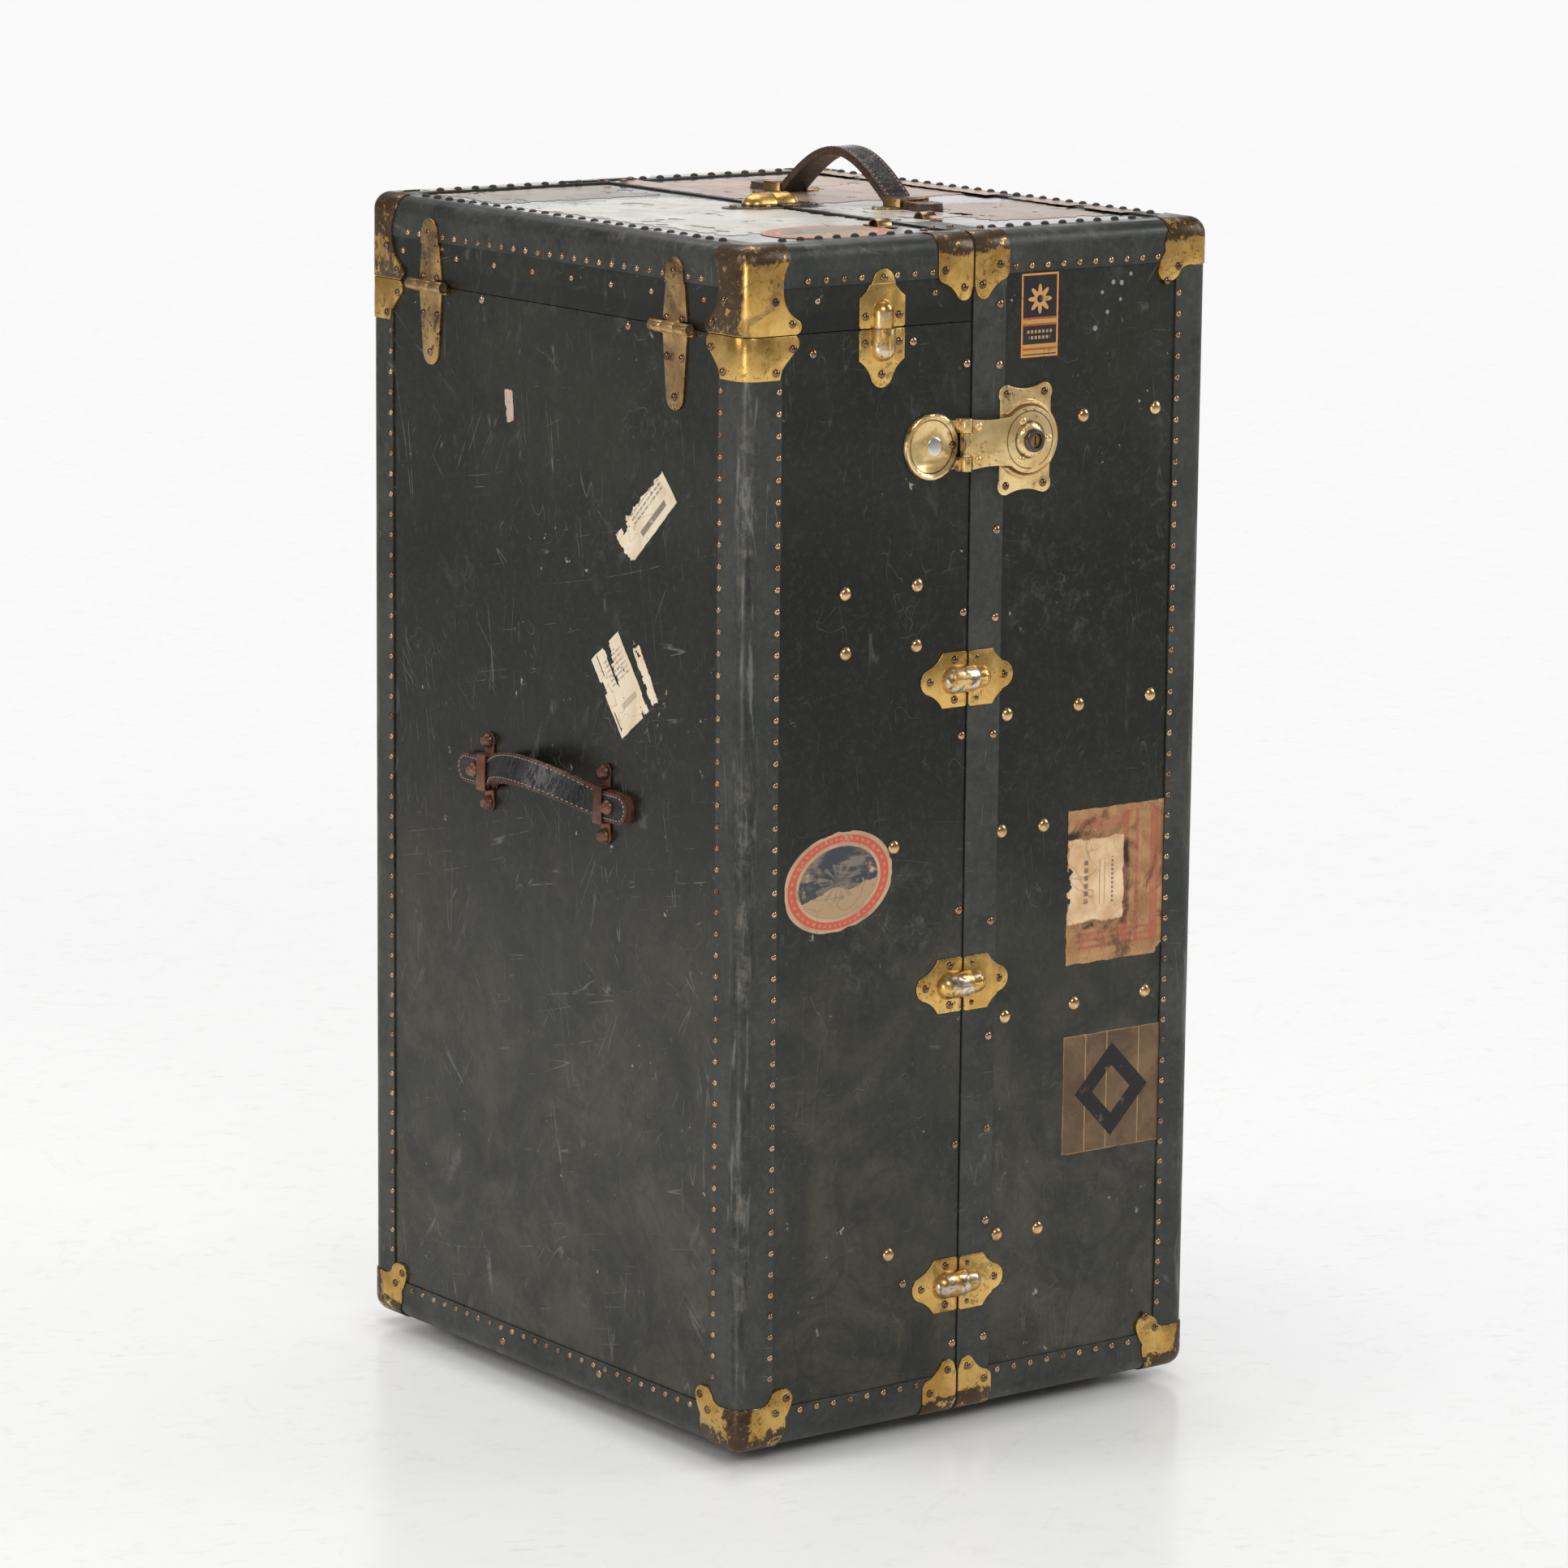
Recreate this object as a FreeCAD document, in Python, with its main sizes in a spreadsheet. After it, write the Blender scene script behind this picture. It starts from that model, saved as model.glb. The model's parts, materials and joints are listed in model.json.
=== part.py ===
import FreeCAD, Part
import math
import os
import re

Vector = FreeCAD.Vector
X, Y, Z = Vector(1, 0, 0), Vector(0, 1, 0), Vector(0, 0, 1)

doc = FreeCAD.newDocument("wardrobe_trunk")

# ---------------------------------------------------------------- driving dimensions (mm)
# The trunk is laid out from its front left bottom corner: X runs right along the front, Y to the
# back, Z up. Every finished piece is then moved so that the origin is under the trunk's middle.
driving = {
    "trunk_width": 490,            # both halves together, outside the edge bindings
    "trunk_depth": 560,
    "trunk_height": 1012,          # without the runners under it
    "wardrobe_width": 233.5,       # the hanging half, up to the middle of the split
    "lid_depth": 73,               # from the top down to the seam under the lift-up lid
    "seam_gap": 0.8,               # between lid and wall, and between the two halves
    "edge_radius": 14,
    "fibre": 1.5,                  # thickness of bindings and split band
    "ply": 9,                      # walls of both halves and the lid
    "binding_side": 37,            # upright bindings
    "binding_end": 35,             # bindings along the top and bottom edges
    "binding_under": 30,           # their flange on the top and bottom faces
    "band_width": 34.5,            # raised band round the drawer half's open edge
    "brass": 1.2,                  # pressed brass sheet
    "steel": 2.2,                  # hinge leaves and handle loops
    "foot_cap_reach": 45,
    "foot_cap_rise": 51,
    "lid_cap_reach": 55,
    "seam_cap_drop": 36,
    "cap_over_edge": 30,
    "clip_width": 36,
    "clip_margin": 1.2,
    "clip_drop": 55,
    "clip_rise": 48,
    "clip_over_edge": 22,
    "dowel_length": 49,            # one plate, from the split to its tip
    "dowel_half_height": 23.5,
    "dowel_margin": 0.6,           # from the split to a plate's edge
    "dowel_lift": 1,               # from a tongue's plate to the hood's rim over it
    "hood_radius": 12,
    "hood_length": 28,
    "hood_overhang": 6,
    "tongue_radius": 10,
    "tongue_length": 24,
    "tongue_reach": 3,
    "top_dowel_place": 285,
    "lid_dowel_place": 139,
    "split_dowel_low": 114,        # the lowest, from the bottom
    "split_dowel_drop": 373.5,     # the highest, from the top
    "lid_hinge_inset": 98,
    "lid_hinge_up": 58,
    "lid_hinge_down": 69,
    "lid_hinge_root": 17,
    "lid_hinge_tip": 12,
    "lid_hinge_barrel": 54,
    "barrel_radius": 5,
    "pin_radius": 2.5,
    "running_gap": 0.06,           # hinge pins in their knuckles
    "knuckle_gap": 0.4,
    "main_hinge_low": 150,         # the lowest, from the bottom
    "main_hinge_drop": 162,        # the highest, from the top
    "main_hinge_length": 60,
    "main_hinge_reach": 45,
    "lock_drop": 175,              # middle of the lock, from the top
    "hasp_pivot": 224,             # from the left edge to the hasp's pin
    "hasp_barrel": 44,
    "hasp_plate_radius": 28.5,
    "hasp_rim_width": 6,
    "hasp_rim_height": 3.6,
    "hasp_button_radius": 8.5,
    "hasp_plate_place": 192,
    "hub_place": 290,
    "hub_radius": 28,
    "hasp_half_width": 21,
    "hasp_waist": 1.6,             # how far the strap draws in between barrel and hub
    "flap_back": 5.4,              # back of the flap, in front of the bindings' face
    "flap_thickness": 2.6,
    "ring_radius": 33.5,
    "ring_gap": 1.5,               # round the flap's hub
    "ring_under_flap": 0.4,        # so that the halves part with the flap still down
    "lock_half_width": 27,
    "lock_half_height": 46,
    "collar_radius": 14.5,
    "collar_top_radius": 11,
    "collar_height": 4,
    "barrel_head_radius": 10,
    "barrel_head_height": 4.5,
    "barrel_head_chamfer": 1.2,
    "plug_radius": 6,
    "plug_gap": 0.3,
    "plug_recess": 1.5,            # of the plug's face below the housing's
    "keyway_width": 1.6,
    "keyway_depth": 2,
    "strap_width": 27,
    "side_strap": 9,               # thickness of the side handles' leather
    "top_strap": 7,
    "side_handle_place": 282,      # middle of the side handles, from the front
    "side_handle_height": 525,
    "side_handle_span": 176,       # loop to loop
    "side_handle_tab": 40,
    "side_handle_out": 36,
    "side_handle_lift": 16,
    "side_loop_width": 13,
    "top_handle_x": 327,
    "top_handle_y": 301,
    "top_handle_span": 174,
    "top_handle_tab": 44,
    "top_handle_out": 47,
    "top_loop_width": 24,
    "loop_room": 0.4,              # between the leather and the loop over it
    "bolt_spread": 27.5,           # of a loop's bolts, from its middle
    "bolt_radius": 6.5,
    "bolt_height": 7,
    "lid_staple_x": 208,
    "lid_staple_y": 95,
    "half_staple_x": 276,
    "half_staple_y": 121,
    "staple_radius": 7.5,
    "staple_width": 14,
    "staple_foot": 8,
    "runner_height": 12,
    "runner_width": 30,
    "runner_inset": 54,
    "runner_from_split": 14,
    "runner_chamfer": 5,
    "tongue_strip": 2,             # closing strip inside the hanging half's open edge
    "tongue_strip_inside": 24,
    "tongue_strip_out": 6.5,
    "tongue_clear": 0.5,
    "rod_radius": 4,
    "rod_spread": 45,
    "rod_drop": 13,                # of the rails' axes below the lid's seam
    "rod_gap": 0.3,
    "rod_end_room": 8,
    "rod_plate": 3,
    "rod_plate_half_width": 90,
    "rod_plate_half_height": 12,
    "block_length": 30,            # the trolley's sliding block
    "block_half_width": 62,
    "block_half_height": 8,
    "block_start": 16,
    "hang_bar_depth": 18,
    "hang_bar_thickness": 4,
    "end_stop_length": 8,
    "end_stop_half_width": 40,
    "hanger_count": 6,
    "hanger_neck": 12,
    "hanger_slot_room": 0.6,       # each side of the bar
    "hanger_pitch": 26,
    "hanger_thickness": 8,
    "hanger_half_span": 205,
    "hanger_depth": 26,
    "hanger_shoulder": 24,
    "carcass_setback": 12,
    "carcass_board": 6,
    "deep_bay": 343,               # height of the lowest shelf
    "top_bay": 160,                # of the highest shelf below the trunk's top
    "drawer_gap": 1.5,             # each side of a drawer
    "drawer_gap_behind": 4,
    "drawer_seat": 0.3,            # under a drawer, above what carries it
    "drawer_top_room": 3,
    "drawer_setback": 3,
    "drawer_front": 10,
    "drawer_side": 7,
    "drawer_bottom": 4,
    "slide_strip_height": 6,
    "slide_strip_width": 12,
    "pull_width": 60,
    "pull_height": 20,
    "pull_out": 11,
    "pull_thickness": 3,
}

sheet = doc.addObject("Spreadsheet::Sheet", "dims")
for row, (alias, value) in enumerate(driving.items(), start=1):
    sheet.set("A%d" % row, alias)
    sheet.set("B%d" % row, str(value))
    sheet.setAlias("B%d" % row, alias)
doc.recompute()


class Sizes:
    """The sheet's values as plain numbers, for shapes made with Part's own functions."""

    def __getattr__(self, alias):
        return float(sheet.get(alias))


d = Sizes()
finished = []

# the same places, as expressions for native objects and as numbers for shapes
seam = "(trunk_height - lid_depth)"
lid_seam = d.trunk_height - d.lid_depth
lock_line = "(trunk_height - lock_drop)"
lock_height = d.trunk_height - d.lock_drop
rail_line = "(trunk_height - lid_depth - rod_drop)"


def bound(text):
    """An expression in which each size's name points at its cell."""
    return re.sub(r"[a-z_]+", lambda m: "dims." + m.group() if m.group() in driving else m.group(), text)


def finish(obj, label):
    """Name a sub-part and move it from the corner layout to the trunk's own frame."""
    obj.Label = label
    obj.setExpression("Placement.Base.x", bound("-trunk_width / 2"))
    obj.setExpression("Placement.Base.y", bound("-trunk_depth / 2"))
    obj.setExpression("Placement.Base.z", bound("runner_height"))
    finished.append(obj)
    return obj


# ---------------------------------------------------------------- helpers: native Part objects
def block(name, size, corner):
    box = doc.addObject("Part::Box", name)
    for side, text in zip(("Length", "Width", "Height"), size):
        box.setExpression(side, bound(text))
    for axis, text in zip("xyz", corner):
        box.setExpression("Placement.Base." + axis, bound(text))
    return box


def cylinder(name, radius, length, start, direction):
    """Cylinder from a start point along one axis."""
    obj = doc.addObject("Part::Cylinder", name)
    obj.Placement = FreeCAD.Placement(Vector(), FreeCAD.Rotation(Z, direction))
    obj.setExpression("Radius", bound(radius))
    obj.setExpression("Height", bound(length))
    for axis, text in zip("xyz", start):
        obj.setExpression("Placement.Base." + axis, bound(text))
    return obj


def pair(kind, name, base, tool):
    obj = doc.addObject("Part::" + kind, name)
    obj.Base = base
    obj.Tool = tool
    return obj


def several(kind, name, shapes):
    obj = doc.addObject("Part::" + kind, name)
    obj.Shapes = shapes
    return obj


def feature(label, solids):
    """A sub-part whose solids come from Part's functions."""
    obj = doc.addObject("Part::Feature", label)
    obj.Shape = Part.makeCompound(list(solids))
    return finish(obj, label)


# ---------------------------------------------------------------- helpers: outlines on a face
def outline(steps):
    """Closed wire in the XY plane: a point draws a line, a pair of points an arc through the first."""
    points = [Vector(*steps[0], 0)]
    edges = []
    for step in steps[1:]:
        if isinstance(step[0], tuple):
            middle, end = Vector(*step[0], 0), Vector(*step[1], 0)
            edges.append(Part.Arc(points[-1], middle, end).toShape())
        else:
            end = Vector(*step, 0)
            edges.append(Part.LineSegment(points[-1], end).toShape())
        points.append(end)
    edges.append(Part.LineSegment(points[-1], points[0]).toShape())
    return Part.Wire(edges)


def prism(steps, low, high):
    face = Part.Face(outline(steps))
    face.translate(Vector(0, 0, low))
    return face.extrude(Vector(0, 0, high - low))


def turned(points, place=0, base=0):
    """A solid of revolution round an upright axis, from its outline as (radius, height) points."""
    wire = Part.makePolygon([Vector(radius, 0, height) for radius, height in points + points[:1]])
    return Part.Face(wire).revolve(Vector(0, 0, 0), Z, 360).translated(Vector(place, 0, base))


def half_turned(steps):
    """The same outline on the other side of the V axis."""
    def swap(point):
        return (-point[0], point[1])
    return [tuple(swap(p) for p in s) if isinstance(s[0], tuple) else swap(s) for s in steps]


def placed(shape, origin, across, up):
    """Stand a shape drawn with U across, V up and W outwards on a face of the trunk."""
    out = across.cross(up)
    frame = FreeCAD.Matrix(
        across.x, up.x, out.x, origin.x,
        across.y, up.y, out.y, origin.y,
        across.z, up.z, out.z, origin.z,
        0, 0, 0, 1)
    copy = shape.copy()
    copy.Placement = FreeCAD.Placement(frame).multiply(shape.Placement)
    return copy


def on_front(shape, x, z):
    return placed(shape, Vector(x, 0, z), X, Z)


def on_back(shape, x, z):
    return placed(shape, Vector(x, d.trunk_depth, z), -X, Z)


def on_left(shape, y, z):
    return placed(shape, Vector(0, y, z), -Y, Z)


def on_right(shape, y, z):
    return placed(shape, Vector(d.trunk_width, y, z), Y, Z)


def on_top(shape, x, y):
    return placed(shape, Vector(x, y, d.trunk_height), X, Y)


def box(size, corner):
    return Part.makeBox(*size, Vector(*corner))


def rod(radius, length, start, direction):
    return Part.makeCylinder(radius, length, Vector(*start), direction)


def flip_y(shape):
    return shape.mirror(Vector(0, d.trunk_depth / 2, 0), Y)


def flip_x(shape):
    return shape.mirror(Vector(d.trunk_width / 2, 0, 0), X)


def flip_z(shape):
    return shape.mirror(Vector(0, 0, d.trunk_height / 2), Z)


def flip_split(shape):
    return shape.mirror(Vector(d.wardrobe_width, 0, 0), X)


# ---------------------------------------------------------------- the trunk's three outer faces
def rounded_trunk(name, grow):
    """The whole trunk with rounded edges, grown outwards from the face of its bindings."""
    size = ["%s + 2 * (%s)" % (side, grow) for side in ("trunk_width", "trunk_depth", "trunk_height")]
    whole = block(name + "_block", size, ["-(%s)" % grow] * 3)
    doc.recompute()
    growth = (whole.Length.Value - d.trunk_width) / 2
    rounded = doc.addObject("Part::Fillet", name)
    rounded.Base = whole
    radius = d.edge_radius + growth
    rounded.Edges = [(edge, radius, radius) for edge in range(1, 13)]
    return rounded


binding_face = rounded_trunk("binding_face", "0")
panel_face = rounded_trunk("panel_face", "-fibre")
cap_face = rounded_trunk("cap_face", "brass")

margin = "50"
left_of_split = "wardrobe_width - seam_gap / 2"
right_of_split = "wardrobe_width + seam_gap / 2"
under_seam = seam + " - seam_gap / 2"
over_seam = seam + " + seam_gap / 2"

wardrobe_room = block(
    "wardrobe_room",
    (left_of_split + " + " + margin, "trunk_depth + 2 * " + margin, under_seam + " + " + margin),
    ("-" + margin, "-" + margin, "-" + margin))
lid_room = block(
    "lid_room",
    (left_of_split + " + " + margin, "trunk_depth + 2 * " + margin, "lid_depth + " + margin),
    ("-" + margin, "-" + margin, over_seam))
drawer_half_room = block(
    "drawer_half_room",
    ("trunk_width - wardrobe_width + " + margin, "trunk_depth + 2 * " + margin,
     "trunk_height + 2 * " + margin),
    (right_of_split, "-" + margin, "-" + margin))

hollow = block(
    "hollow",
    ["%s - 2 * (fibre + ply)" % side for side in ("trunk_width", "trunk_depth", "trunk_height")],
    ["fibre + ply"] * 3)

walls = pair("Cut", "walls", panel_face, hollow)
wardrobe_shell = finish(pair("Common", "wardrobe_shell", walls, wardrobe_room), "wardrobe_shell")
lid_shell = finish(pair("Common", "lid_shell", walls, lid_room), "lid_shell")
drawer_half_shell = finish(pair("Common", "drawer_half_shell", walls, drawer_half_room), "drawer_half_shell")

# ---------------------------------------------------------------- edge bindings and split band
skin = pair("Cut", "skin", binding_face, panel_face)
band_right = right_of_split + " + band_width"
windows = several("MultiFuse", "windows", [
    block("side_windows",
          ("trunk_width + 2 * " + margin, "trunk_depth - 2 * binding_side", "trunk_height - 2 * binding_end"),
          ("-" + margin, "binding_side", "binding_end")),
    block("front_windows",
          ("trunk_width - 2 * binding_side", "trunk_depth + 2 * " + margin, "trunk_height - 2 * binding_end"),
          ("binding_side", "-" + margin, "binding_end")),
    block("end_windows",
          ("trunk_width - 2 * binding_under", "trunk_depth - 2 * binding_under",
           "trunk_height + 2 * " + margin),
          ("binding_under", "binding_under", "-" + margin)),
])
bindings = pair("Cut", "bindings", skin, windows)
band_room = block(
    "band_room",
    ("band_width", "trunk_depth + 2 * " + margin, "trunk_height + 2 * " + margin),
    (right_of_split, "-" + margin, "-" + margin))
beyond_band = block(
    "beyond_band",
    ("trunk_width - (" + band_right + ") + " + margin, "trunk_depth + 2 * " + margin,
     "trunk_height + 2 * " + margin),
    (band_right, "-" + margin, "-" + margin))

wardrobe_binding = finish(pair("Common", "wardrobe_binding", bindings, wardrobe_room), "wardrobe_binding")
lid_binding = finish(pair("Common", "lid_binding", bindings, lid_room), "lid_binding")
drawer_half_binding = finish(
    pair("Common", "drawer_half_binding", bindings, beyond_band), "drawer_half_binding")
split_band = finish(pair("Common", "split_band", skin, band_room), "split_band")
doc.recompute()

# what the fittings lie on: panels with the bindings and the band over them
ground = panel_face.Shape.fuse([bindings.Shape, skin.Shape.common(band_room.Shape)])


def seated(shape):
    """Cut away what the panels, bindings and band take up, so that the piece lies on all of them."""
    return shape.cut(ground)


# ---------------------------------------------------------------- pressed corner caps
far = 6  # how far a cutting outline runs past the trunk's faces


def flange(reach, low, high):
    """The cap's part on the top or bottom face, round towards the middle of that face."""
    round_point = 0.72 * reach
    return prism([(-far, -far), (reach, -far), (reach, 4), ((round_point, round_point), (4, reach)),
                  (-far, reach)], low, high)


def corner_cap(steps, height, extra=()):
    """One cap at the front left corner: the same eared outline on the front and on the left face."""
    front = on_front(prism(steps, -d.edge_radius, far), 0, height)
    left = on_left(prism(half_turned(steps), -d.edge_radius, far), 0, height)
    return seated(cap_face.Shape.common(front.fuse([left, *extra])))


reach, rise = d.foot_cap_reach, d.foot_cap_rise
foot_steps = [
    (-far, -far), (reach, -far), (reach + 1, 8), ((reach + 5, rise - 34), (reach + 5, rise - 25)),
    ((reach + 9, rise - 19), (reach + 12, rise - 11)), ((reach + 9, rise - 2), (reach + 2, rise)),
    ((reach - 7, rise - 2), (reach - 12, rise - 9)), ((reach - 18, rise - 12), (reach - 27, rise - 12)),
    (-far, rise - 12)]
foot_flange = flange(reach, -far, d.edge_radius)
foot_cap = corner_cap(foot_steps, 0, [foot_flange])
feature("wardrobe_foot_caps", [foot_cap, flip_y(foot_cap)])
right_foot_cap = flip_x(foot_cap)
feature("drawer_half_corner_caps", [
    right_foot_cap, flip_y(right_foot_cap), flip_z(right_foot_cap), flip_y(flip_z(right_foot_cap))])

reach, clear = d.lid_cap_reach, d.seam_gap / 2
lid_rise = d.lid_depth
lid_cap_steps = [
    (-far, clear), (reach - 7, clear), ((reach, clear + 4), (reach - 2, clear + 11)),
    ((reach - 14, clear + 21), (reach - 18, 37)), ((reach - 17, 50), (reach - 11, lid_rise - 12)),
    (reach - 11, lid_rise + far), (-far, lid_rise + far)]
lid_flange = flange(d.cap_over_edge, d.trunk_height - d.edge_radius, d.trunk_height + far)
lid_cap = corner_cap(lid_cap_steps, lid_seam, [lid_flange])
feature("lid_corner_caps", [lid_cap, flip_y(lid_cap)])

drop = d.seam_cap_drop
seam_cap_steps = [
    (-far, -clear), (reach - 6, -clear), ((reach - 2, -5), (reach - 4, -12)),
    ((reach - 13, -21), (reach - 19, 8 - drop)), (reach - 21, -drop), (-far, -drop)]
seam_cap = corner_cap(seam_cap_steps, lid_seam)
feature("wardrobe_seam_caps", [seam_cap, flip_y(seam_cap)])


# ---------------------------------------------------------------- edge clips beside the split
def edge_clip(length):
    """A clip folded over the top edge, left of the split at the front."""
    near, width = d.clip_margin, d.clip_width
    edge = near + width
    steps = [
        (near, far), (edge, far), (edge, 23 - length), ((edge - 1, 19 - length), (edge - 7, 15 - length)),
        ((edge - 15, 10 - length), (edge - 20, 4 - length)), ((edge - 27, -length), (near + 2, 5 - length)),
        (near, 12 - length)]
    face = prism(half_turned(steps), -d.edge_radius, far)
    over = box((width, d.clip_over_edge + far, 2 * far),
               (d.wardrobe_width - edge, -far, d.trunk_height - far))
    return cap_face.Shape.common(on_front(face, d.wardrobe_width, d.trunk_height).fuse(over))


top_clip = edge_clip(d.clip_drop)
base_clip = flip_z(edge_clip(d.clip_rise))
feature("lid_edge_clips", [seated(clip) for clip in (top_clip, flip_y(top_clip))])
feature("wardrobe_edge_clips", [seated(clip) for clip in (base_clip, flip_y(base_clip))])
right_clips = [flip_split(clip) for clip in (top_clip, base_clip)]
feature("drawer_half_edge_clips", [seated(clip) for clip in right_clips + [flip_y(c) for c in right_clips]])

# ---------------------------------------------------------------- dowels across split and seam
low_face = -d.fibre  # level of the panels, below the bindings' face
roomy = 200  # half side of a box that only cuts, past every fitting


def lying_plate(steps, thickness, raised=None):
    """Sheet metal on the panel; inside the raised box it steps up onto a binding or the band."""
    plate = prism(steps, low_face, low_face + thickness)
    if raised is None:
        return plate
    return plate.fuse(prism(steps, low_face, thickness).common(raised))


def upright_box(u_low, u_high, v_low=-roomy, v_high=roomy):
    """A cutting box over a range of U and V, open inwards and outwards."""
    return box((u_high - u_low, v_high - v_low, 2 * roomy), (u_low, v_low, -roomy))


def dowel_steps():
    """Plate with soft corners at the split and concave shoulders down to a round tip."""
    length, half, near, soft = d.dowel_length, d.dowel_half_height, d.dowel_margin, 2.5
    neck, shoulder = length - 7, 10.5
    corner = near + 0.3 * soft
    return [
        (near, soft - half), ((corner, 0.3 * soft - half), (near + soft, -half)), (length - 23, -half),
        ((length - 17.5, 7 - half), (neck, -shoulder)), ((length, 0), (neck, shoulder)),
        ((length - 17.5, half - 7), (length - 23, half)), (near + soft, half),
        ((corner, half - 0.3 * soft), (near, half - soft))]


def bullet(radius, start, stop):
    """A rod with one round end, along U, its axis at the level of the panels."""
    body = rod(radius, stop - radius - start, (start, 0, low_face), X)
    return body.fuse(Part.makeSphere(radius, Vector(stop - radius, 0, low_face)))


above_panel = box((2 * roomy, 2 * roomy, roomy), (-roomy, -roomy, low_face))


def hood(overhang):
    """Dowel plate with a hollow hood that takes the other plate's tongue."""
    radius = d.hood_radius
    outer = bullet(radius, -overhang, d.hood_length)
    bore = rod(radius - d.brass, overhang + 1 + d.hood_length - radius, (-overhang - 1, 0, low_face), X)
    shell = outer.cut(bore).common(above_panel)
    if overhang > 0:
        over_plate = box((overhang + d.dowel_margin, 2 * radius, d.brass + d.dowel_lift - low_face),
                         (-overhang, -radius, low_face))
        shell = shell.cut(over_plate)
    return shell.fuse(lying_plate(dowel_steps(), d.brass))


def tongue(raised, reach):
    """Dowel plate with a solid tongue that reaches past its edge into a hood."""
    radius = d.tongue_radius
    body = bullet(radius, -reach, d.tongue_length).common(above_panel)
    under_nose = box((reach + d.dowel_margin, 2 * radius, d.brass), (-reach, -radius, low_face))
    return body.cut(under_nose).fuse(lying_plate(dowel_steps(), d.brass, raised))


def three_heights(low, drop):
    """The lowest of three like fittings, one halfway and the highest."""
    high = d.trunk_height - drop
    return low, (low + high) / 2, high


split_heights = three_heights(d.split_dowel_low, d.split_dowel_drop)


def at_split(shape, height, across, up):
    return placed(shape, Vector(d.wardrobe_width, 0, height), across, up)


split_hood = hood(d.hood_overhang)
feature("split_dowel_hoods", [seated(at_split(split_hood, h, -X, -Z)) for h in split_heights])
over_band = upright_box(-10, d.band_width + clear + d.brass)
split_tongue = tongue(over_band, d.tongue_reach)
feature("split_dowel_tongues", [seated(at_split(split_tongue, h, X, Z)) for h in split_heights])

lid_dowel_foot = Vector(d.lid_dowel_place, 0, lid_seam)
feature("lid_dowel_hood", [seated(placed(hood(0), lid_dowel_foot, -Z, X))])
on_binding = upright_box(lid_rise - d.binding_end - d.brass, roomy)
feature("lid_dowel_tongue", [seated(placed(tongue(on_binding, d.tongue_reach), lid_dowel_foot, Z, -X))])

top_dowel_foot = Vector(d.wardrobe_width, d.top_dowel_place, d.trunk_height)
closed_dome = bullet(d.hood_radius, clear, d.hood_length).common(above_panel)
top_plate = closed_dome.fuse(lying_plate(dowel_steps(), d.brass))
feature("top_dowel_lid_plate", [seated(placed(top_plate, top_dowel_foot, -X, -Y))])
band_plate = closed_dome.fuse(lying_plate(dowel_steps(), d.brass, over_band))
feature("top_dowel_half_plate", [seated(placed(band_plate, top_dowel_foot, X, Y))])


# ---------------------------------------------------------------- hinges
def knuckle(start, stop, side):
    """One knuckle on the hinge line, which runs along U, and its web to the leaf on side V = +-1."""
    radius = d.barrel_radius
    web_width = radius + d.knuckle_gap + 0.6
    web = box((stop - start, web_width, d.steel - low_face),
              (start, 0 if side > 0 else -web_width, low_face))
    return rod(radius, stop - start, (start, 0, radius), X).fuse(web)


def hinge_leaf(steps, side, knuckles, raised=None):
    leaf = lying_plate(steps, d.steel, raised)
    leaf = leaf.fuse([knuckle(start, stop, side) for start, stop in knuckles])
    bore = rod(d.pin_radius + d.running_gap, 2 * roomy, (-roomy, 0, d.barrel_radius), X)
    return leaf.cut(bore)


def pins(label, length, starts, direction):
    """Wire pins of a row of hinges, each as long as its barrel."""
    row = doc.addObject("Part::Compound", label)
    row.Links = [cylinder("%s_%d" % (label, number), "pin_radius", length, start, direction)
                 for number, start in enumerate(starts, start=1)]
    finish(row, label)


def barrel_parts(length, count):
    """Starts and stops of a barrel's knuckles, split into those of one leaf and of the other."""
    pitch = length / count
    gap = d.knuckle_gap / 2
    rooms = [(-length / 2 + n * pitch + gap, -length / 2 + (n + 1) * pitch - gap) for n in range(count)]
    return rooms[0::2], rooms[1::2]


root = d.barrel_radius + d.knuckle_gap


def strap_steps(length, side):
    """Tapered strap with a round tip, from beside the barrel."""
    wide, tip = d.lid_hinge_root, d.lid_hinge_tip
    return [(-wide, side * root), (wide, side * root), (tip, side * (length - tip)),
            ((0, side * length), (-tip, side * (length - tip)))]


outer_rooms, inner_rooms = barrel_parts(d.lid_hinge_barrel, 3)
lid_hinge_places = (d.lid_hinge_inset, d.trunk_depth - d.lid_hinge_inset)
step_up = upright_box(-roomy, roomy, lid_rise - d.binding_end - d.steel, roomy)
upper_leaf = hinge_leaf(strap_steps(d.lid_hinge_up, 1), 1, inner_rooms, step_up)
lower_leaf = hinge_leaf(strap_steps(d.lid_hinge_down, -1), -1, outer_rooms)
feature("lid_hinge_upper_leaves", [seated(on_left(upper_leaf, y, lid_seam)) for y in lid_hinge_places])
feature("lid_hinge_lower_leaves", [seated(on_left(lower_leaf, y, lid_seam)) for y in lid_hinge_places])
pins("lid_hinge_pins", "lid_hinge_barrel", [
    ("-barrel_radius", place + " - lid_hinge_barrel / 2", seam)
    for place in ("lid_hinge_inset", "trunk_depth - lid_hinge_inset")], Y)


def main_leaf_steps(side):
    half, reach_out = d.main_hinge_length / 2, d.main_hinge_reach
    return [(-half, side * root), (half, side * root), (half, side * (reach_out - 20)),
            ((half - 5, side * (reach_out - 5)), (half - 20, side * reach_out)),
            (20 - half, side * reach_out),
            ((5 - half, side * (reach_out - 5)), (-half, side * (reach_out - 20)))]


def at_back(shape, height):
    """Hinge line upright on the back, over the split: U runs up, V towards the drawer half."""
    return placed(shape, Vector(d.wardrobe_width, d.trunk_depth, height), Z, X)


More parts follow.
